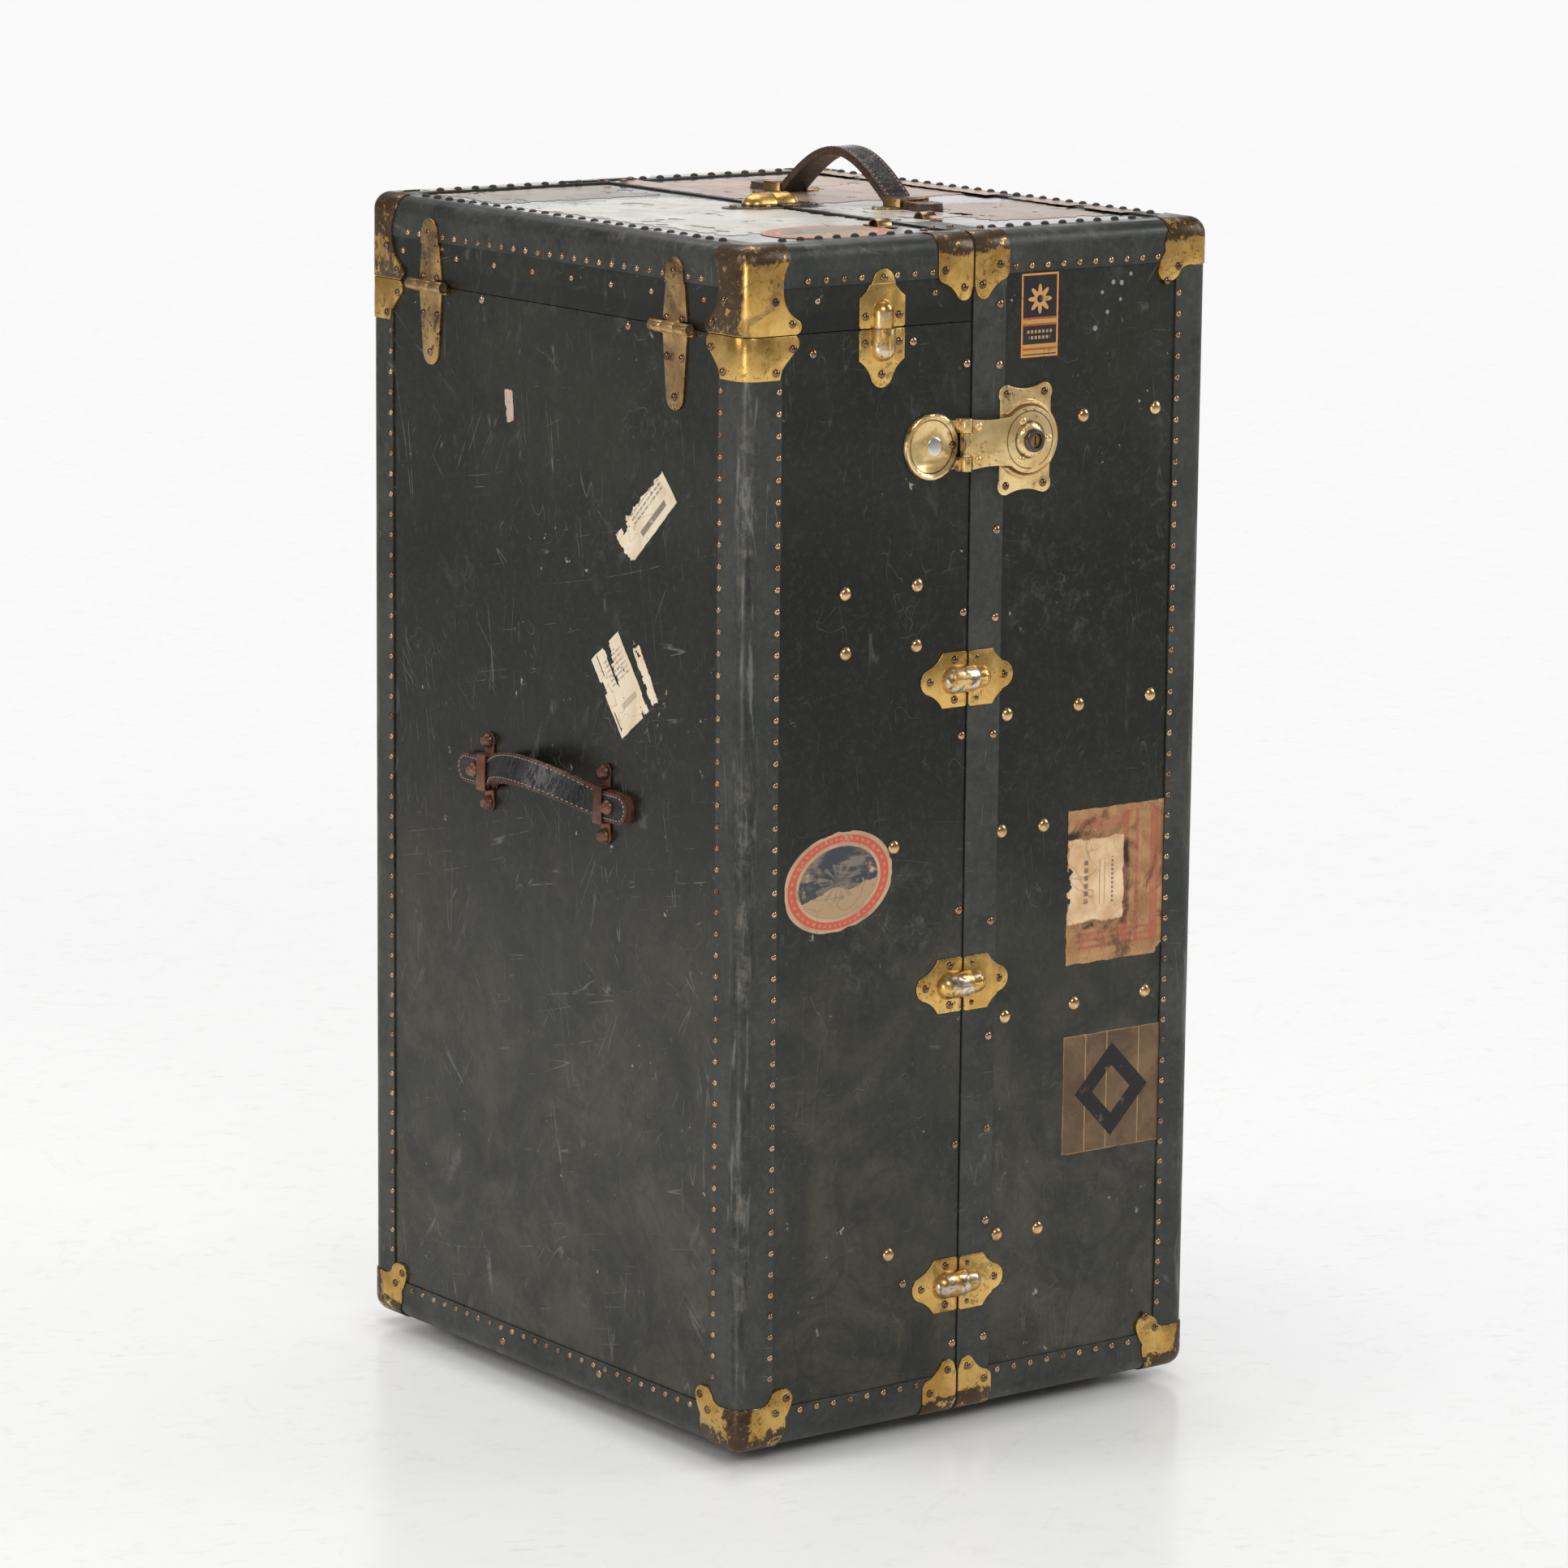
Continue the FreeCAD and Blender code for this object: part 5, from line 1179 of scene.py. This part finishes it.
def badgePrint(size):
    # a frame, an eight-leaved flower, and two groups of stripes
    sheet = Print("badgePrint", size, inkBlack, (0.03, 0.025, 0.022), rough=0.35)
    wide, tall = size
    frame = sheet.minus(sheet.box(0, 0, wide - 0.6, tall - 0.6), sheet.box(0, 0, wide - 4.0, tall - 4.0))
    sheet.paint(frame, inkOrange)
    v = sheet.minus(sheet.v, tall * 0.19)
    spread = distanceFrom(sheet, sheet.u, v, 0, 0)
    turn = sheet.calc("ARCTAN2", v, sheet.u)
    petals = sheet.plus(sheet.times(sheet.calc("COSINE", sheet.times(turn, 8)), 3.2), 9.4)
    sheet.paint(sheet.fall(sheet.minus(spread, petals), -0.3, 0.3), (0.62, 0.33, 0.12))
    sheet.paint(sheet.fall(spread, 3.0, 3.5), inkBlack)
    for middle, thick, colour in ((-0.075, 7.0, inkRed), (-0.075, 3.4, inkGold), (-0.40, 8.2, inkGold),
                                  (-0.40, 2.0, inkRed)):
        sheet.paint(sheet.box(0, tall * middle, wide - 4.2, thick), colour)
    for middle, share in ((-0.195, 0.72), (-0.265, 0.56)):
        beads = sheet.times(sheet.box(0, tall * middle, wide * share, 2.6), sheet.wave(sheet.u, 4, 0.6))
        sheet.paint(beads, (0.50, 0.31, 0.16))
    return sheet.done()


def ovalPrint(size, ring=(0.60, 0.090, 0.045), field=(0.050, 0.055, 0.066)):
    # a red ring between two pale ones, round a dark sky with a paler plain below
    sheet = Print("ovalPrint%d" % size[1], size, (0.60, 0.40, 0.25), (0.42, 0.25, 0.15))
    wide, tall = size
    whole = sheet.reach(wide, tall)
    sheet.paint(sheet.ring(whole, 0.765, 0.915, 0.015), ring, 0.92)
    turn = sheet.calc("ARCTAN2", sheet.v, sheet.u)
    ticks = sheet.ramp(sheet.calc("SINE", sheet.times(turn, 44)), 0.1, 0.4)
    sheet.paint(sheet.times(sheet.ring(whole, 0.825, 0.87), ticks), (0.62, 0.40, 0.26), 0.42)
    inner = sheet.inside(sheet.reach(wide * 0.72, tall * 0.70))
    haze = sheet.patch(0.48, 0.62, 1.0, 5, 0.6, at=sheet.shape(scale=(34, 34, 120)))
    sheet.paint(inner, sheet.blend(haze, field, (0.22, 0.18, 0.14)))
    hills = sheet.plus(sheet.times(sheet.minus(sheet.cloud(24, 5), 0.5), 34), sheet.v)
    sheet.paint(sheet.times(inner, sheet.fall(hills, -7.5, -6.5)), (0.50, 0.33, 0.18), 0.92)
    rays = sheet.ramp(sheet.calc("SINE", sheet.times(turn, 12)), 0.2, 0.5)
    sun = sheet.inside(sheet.reach(wide * 0.42, tall * 0.38))
    sheet.paint(sheet.times(sun, rays), (0.26, 0.21, 0.16), 0.55)
    return sheet.stain((0.10, 0.065, 0.04), 0.60, 20, 0.6).done()


def freightPrint(size):
    # red bars on kraft paper, and a torn pale slip with ruled marks pasted over them
    sheet = Print("freightPrint", size, kraft, kraftAged)
    wide, tall = size
    for place, breadth in ((0.40, 9), (0.22, 4), (0.10, 7)):
        sheet.paint(sheet.box(wide * place, 4, breadth, tall * 0.86), inkRed, 0.55)
    sheet.paint(sheet.times(sheet.box(0, tall * -0.36, wide * 0.8, 16), sheet.wave(sheet.v, 6)), inkRed, 0.5)
    sheet.paint(sheet.box(wide * -0.2, tall * 0.4, wide * 0.45, 10), inkRed, 0.35)
    sheet.stain((0.10, 0.038, 0.018), 0.50, 17, 0.8)
    ragged = sheet.times(sheet.minus(sheet.cloud(50, 6), 0.5), 0.34)
    across = sheet.along(sheet.u, wide * -0.20, wide * 0.29)
    upright = sheet.along(sheet.v, tall * 0.04, tall * 0.27)
    slip = sheet.plus(sheet.most(sheet.calc("ABSOLUTE", across), sheet.calc("ABSOLUTE", upright)), ragged)
    pale = sheet.blend(sheet.patch(0.35, 0.65, 35, 5), (0.92, 0.67, 0.41), (0.66, 0.41, 0.21))
    sheet.lay(sheet.fall(slip, 0.95, 1.0), pale)
    for place, breadth in ((-0.30, 4.5), (-0.16, 1.2), (-0.11, 1.2), (-0.03, 2.6)):
        column = sheet.box(wide * place, tall * 0.02, breadth, tall * 0.30)
        sheet.paint(sheet.times(column, sheet.wave(sheet.v, breadth * 1.5, 0.62)), (0.10, 0.08, 0.065), 0.75)
    scorch = sheet.times(sheet.ramp(slip, 0.96, 1.02), sheet.fall(slip, 1.10, 1.25))
    sheet.lay(sheet.times(scorch, sheet.patch(0.50, 0.62, 30, 5)), (0.030, 0.014, 0.009))
    return sheet.stain((0.035, 0.018, 0.011), 0.64, 24, 0.9).done()


def markPrint(size):
    # kraft paper with a thick diamond
    sheet = Print("markPrint", size, (0.215, 0.128, 0.062), (0.105, 0.059, 0.029))
    wide, tall = size
    slant = sheet.plus(sheet.calc("ABSOLUTE", sheet.along(sheet.u, 0, wide * 0.38)),
                       sheet.calc("ABSOLUTE", sheet.along(sheet.v, 0, tall * 0.40)))
    for place in (-0.27, -0.05, 0.28):
        sheet.paint(sheet.box(wide * place, 0, 1.0, tall), (0.48, 0.31, 0.15), 0.8)
    rim = sheet.minus(1.0, sheet.box(0, 0, wide - 2.0, tall - 2.0, 0.6))
    sheet.paint(rim, (0.40, 0.25, 0.12), 0.7)
    sheet.paint(sheet.ring(slant, 0.50, 0.98, 0.02), (0.012, 0.010, 0.010))
    return sheet.stain((0.060, 0.034, 0.020), 0.55, 20, 0.7).done()


def tagPrint(size, faded=0.0):
    # cream paper with ruled marks and one bar
    sheet = Print("tagPrint%d" % size[0], size, cream, creamAged)
    wide, tall = size
    block = sheet.box(wide * 0.1, tall * 0.20, wide * 0.6, tall * 0.34)
    lines = sheet.times(block, sheet.wave(sheet.v, 4.4, 0.4), sheet.wave(sheet.u, 7, 0.8))
    sheet.paint(lines, (0.16, 0.14, 0.12), 0.75 - faded / 2)
    sheet.paint(sheet.box(wide * 0.1, tall * -0.22, wide * 0.5, 5.5), (0.13, 0.11, 0.10), 0.8 - faded)
    return sheet.done()


def barePrint(size, name, paper, aged, mark):
    return Print(name, size, paper, aged, 0.32).stain(mark, 0.56, 18, 0.85).done()


paperThick = 0.25
facetSize = 1.4  # of a label's grid, before its edges are torn


def torn(tear, along, seed, end):
    # how far an edge is torn away at a point along it
    return tear * (0.5 + 1.1 * noise.fractal(Vector((along * 0.09, seed, end)), 0.9, 2.2, 5))


def tearEdges(label, size, tears, seed):
    wide, tall = size
    for vertex in label.data.vertices:
        x, y = vertex.co.x * wide, vertex.co.y * tall
        tornX = torn(tears[x > 0], y, seed * 7.3, x > 0)
        tornY = torn(tears[2 + (y > 0)], x, seed * 5.1, y > 0)
        x -= math.copysign(abs(x / wide * 2) ** 10 * tornX, x)
        y -= math.copysign(abs(y / tall * 2) ** 10 * tornY, y)
        vertex.co = (x, y, 0)


def eatHoles(label, seed, holes, grain, bites):
    editAll()
    bpy.ops.mesh.select_all(action="DESELECT")
    bpy.ops.object.mode_set(mode="OBJECT")
    for facet in label.data.polygons:
        x, y, _ = facet.center
        ragged = noise.fractal(Vector((x * 0.12, y * 0.12, seed * 2.9)), 0.8, 2.1, 4)
        gone = holes and noise.fractal(Vector((x * grain[0], y * grain[1], seed * 3.7)), 0.8, 2.1, 5) > holes
        eaten = [math.hypot(x - u, y - v) < reach * (1 + 0.7 * ragged) for u, v, reach in bites]
        facet.select = bool(gone) or any(eaten)
    bpy.ops.object.mode_set(mode="EDIT")
    bpy.ops.mesh.delete(type="FACE")
    bpy.ops.object.mode_set(mode="OBJECT")


def makeLabel(name, face, middle, size, printed, turn=0.0, tears=(2, 2, 2, 2), seed=1, oval=False, lift=0.05,
              holes=0.0, grain=(0.035, 0.035), bites=()):
    # tears: how ragged the left, right, lower and upper edges are, in mm; holes: above which value of a
    # cloud of that grain the paper is gone; bites: places and sizes of further missing pieces
    wide, tall = size
    nothingSelected()
    if oval:
        bpy.ops.mesh.primitive_circle_add(vertices=96, radius=0.5, fill_type="NGON")
    else:
        steps = {"x_subdivisions": round(wide / facetSize), "y_subdivisions": round(tall / facetSize)}
        bpy.ops.mesh.primitive_grid_add(size=1, **steps)
    label = bpy.context.object
    tearEdges(label, size, tears, seed)
    if holes or bites:
        eatHoles(label, seed, holes, grain, bites)
    layout = label.data.uv_layers.active or label.data.uv_layers.new(name="UVMap")
    for loop in label.data.loops:
        spot = label.data.vertices[loop.vertex_index].co
        layout.data[loop.index].uv = (spot.x / wide + 0.5, spot.y / tall + 0.5)
    finishWith(label, "SOLIDIFY", thickness=paperThick, offset=1)
    label.scale = (mm, mm, mm)
    scaleIntoMesh()
    label.matrix_world = onFace(face, *middle, onPanel + lift, turn)
    how, *choices = printed
    return settle(label, name, bodyAt(face, *middle), how(size, *choices))


labels = {
    "badgeSticker": {"face": "front", "middle": (305.5, 940), "size": (40, 71), "printed": [badgePrint],
                     "tears": (0.3, 0.3, 0.3, 0.3)},
    "ovalSticker": {"face": "front", "middle": (101, 479), "size": (115, 85), "printed": [ovalPrint],
                    "turn": 10, "oval": True},
    "freightLabel": {"face": "front", "middle": (400, 444.5), "size": (108, 136), "printed": [freightPrint],
                     "tears": (1.6, 0.8, 1.0, 1.0), "seed": 3,
                     "bites": ((53, -69, 9), (-56, 14, 6), (-55, 1, 6), (-56, -10, 5))},
    "markedLabel": {"face": "front", "middle": (400, 261.5), "size": (108, 105), "printed": [markPrint],
                    "tears": (0.4, 0.4, 0.6, 0.4), "seed": 5},
    "railTag": {"face": "left", "middle": (141, 776), "size": (91, 36), "printed": [tagPrint],
                "turn": 43, "tears": (6, 0.4, 0.5, 8), "seed": 8,
                "bites": ((-30, 19, 10), (-14, 20, 6), (10, 20, 5), (-44, -14, 6), (24, 19, 7))},
    "tiedTag": {"face": "left", "middle": (176, 629), "size": (49, 77), "printed": [tagPrint, 0.4],
                "turn": 37, "tears": (0.6, 0.6, 0.8, 0.5), "seed": 11, "holes": 0.52, "grain": (0.16, 0.034),
                "bites": ((-25, 12, 4), (-25, 6, 3.5))},
    "tagScrap": {"face": "left", "middle": (139, 643), "size": (13, 56),
                 "printed": [barePrint, "tagScrap", cream, creamAged, (0.36, 0.27, 0.18)],
                 "turn": 32, "tears": (3, 3, 3, 3), "seed": 15, "holes": 0.42, "grain": (0.10, 0.06)},
    "scrapLabel": {"face": "left", "middle": (342, 847), "size": (14, 29),
                   "printed": [barePrint, "pinkScrap", (0.66, 0.50, 0.40), (0.52, 0.36, 0.28),
                               (0.40, 0.26, 0.20)],
                   "turn": 4, "tears": (4, 4, 4, 4), "seed": 4, "holes": 0.35},
}
for name, facts in labels.items():
    makeLabel(name, **facts)

paperTones = {  # paper, aged, mark
    "white": ((0.62, 0.60, 0.54), (0.42, 0.40, 0.34), (0.10, 0.10, 0.09)),
    "sideWhite": ((0.60, 0.58, 0.52), (0.42, 0.40, 0.34), (0.10, 0.10, 0.09)),
    "grey": ((0.30, 0.25, 0.20), (0.19, 0.15, 0.12), (0.05, 0.04, 0.035)),
    "backGrey": ((0.58, 0.54, 0.48), (0.42, 0.37, 0.31), (0.12, 0.09, 0.08)),
    "brown": ((0.46, 0.33, 0.24), (0.32, 0.20, 0.15), (0.13, 0.08, 0.06)),
    "edgeBrown": ((0.44, 0.31, 0.22), (0.30, 0.19, 0.14), (0.13, 0.08, 0.06)),
    "kraft": ((0.38, 0.27, 0.20), (0.27, 0.18, 0.13), (0.10, 0.07, 0.05)),
    "pale": ((0.55, 0.52, 0.47), (0.40, 0.35, 0.30), (0.12, 0.09, 0.08)),
    "backPale": ((0.60, 0.55, 0.48), (0.46, 0.40, 0.33), (0.12, 0.09, 0.08)),
}
topPapers = {  # place, size, turn, tear, seed, tones
    "topWhite": ((136, 250), (184, 300), 3, 9, 21, "white"),
    "topGrey": ((130, 468), (178, 104), -2, 8, 22, "grey"),
    "topBrown": ((352, 398), (196, 236), 2, 7, 23, "brown"),
    "topKraft": ((386, 150), (126, 150), -6, 8, 24, "kraft"),
    "topPale": ((296, 178), (78, 112), 8, 9, 25, "pale"),
}
edgePapers = {  # the same along the bindings and the split band, which lie higher
    "topEdgeBrown": ((462, 390), (26, 270), 0, 3, 31, "edgeBrown"),
    "topEdgeKraft": ((462, 150), (26, 160), 0, 4, 32, "kraft"),
    "topBackPale": ((372, 546), (150, 20), 0, 3, 33, "backPale"),
    "topBackGrey": ((122, 546), (150, 20), 0, 3, 34, "backGrey"),
    "topSideWhite": ((22, 262), (15, 330), 0, 3, 35, "sideWhite"),
    "topBandBrown": ((split + 18, 436), (31, 190), 0, 4, 36, "edgeBrown"),
    "topBandPale": ((split + 18, 172), (31, 150), 0, 4, 37, "pale"),
}
for papers, lift in ((topPapers, 0.05), (edgePapers, fibre + 0.05)):
    for name, (middle, size, turn, tear, seed, tones) in papers.items():
        printed = [barePrint, name, *paperTones[tones]]
        makeLabel(name, "top", middle, size, printed, turn=turn, tears=[tear] * 4, seed=seed, holes=0.62,
                  lift=lift)
makeLabel("topOval", "top", (141, 80), (124, 92), [ovalPrint, (0.52, 0.17, 0.13), (0.30, 0.28, 0.25)],
          turn=6, oval=True, lift=0.35)


# the plated disc in the middle of the hasp's round plate
button = {"place": (195, 837), "radius": 8.2, "height": 1.5, "out": 0.2}


def haspButton():
    nothingSelected()
    disc = makeHead("haspButton", button["radius"], button["height"], segments=40, rings=12)
    disc.matrix_world = onFace("front", *button["place"], button["out"])
    plated = wornSteel("buttonPlate", (0.78, 0.74, 0.66), (0.30, 0.22, 0.14), 0.12, rough=0.2)
    settle(disc, "haspButton", "wardrobe_half", plated)


haspButton()
print("labels and button are on")


dressSlots()
print("materials are on")


# the end

print("scene is built")
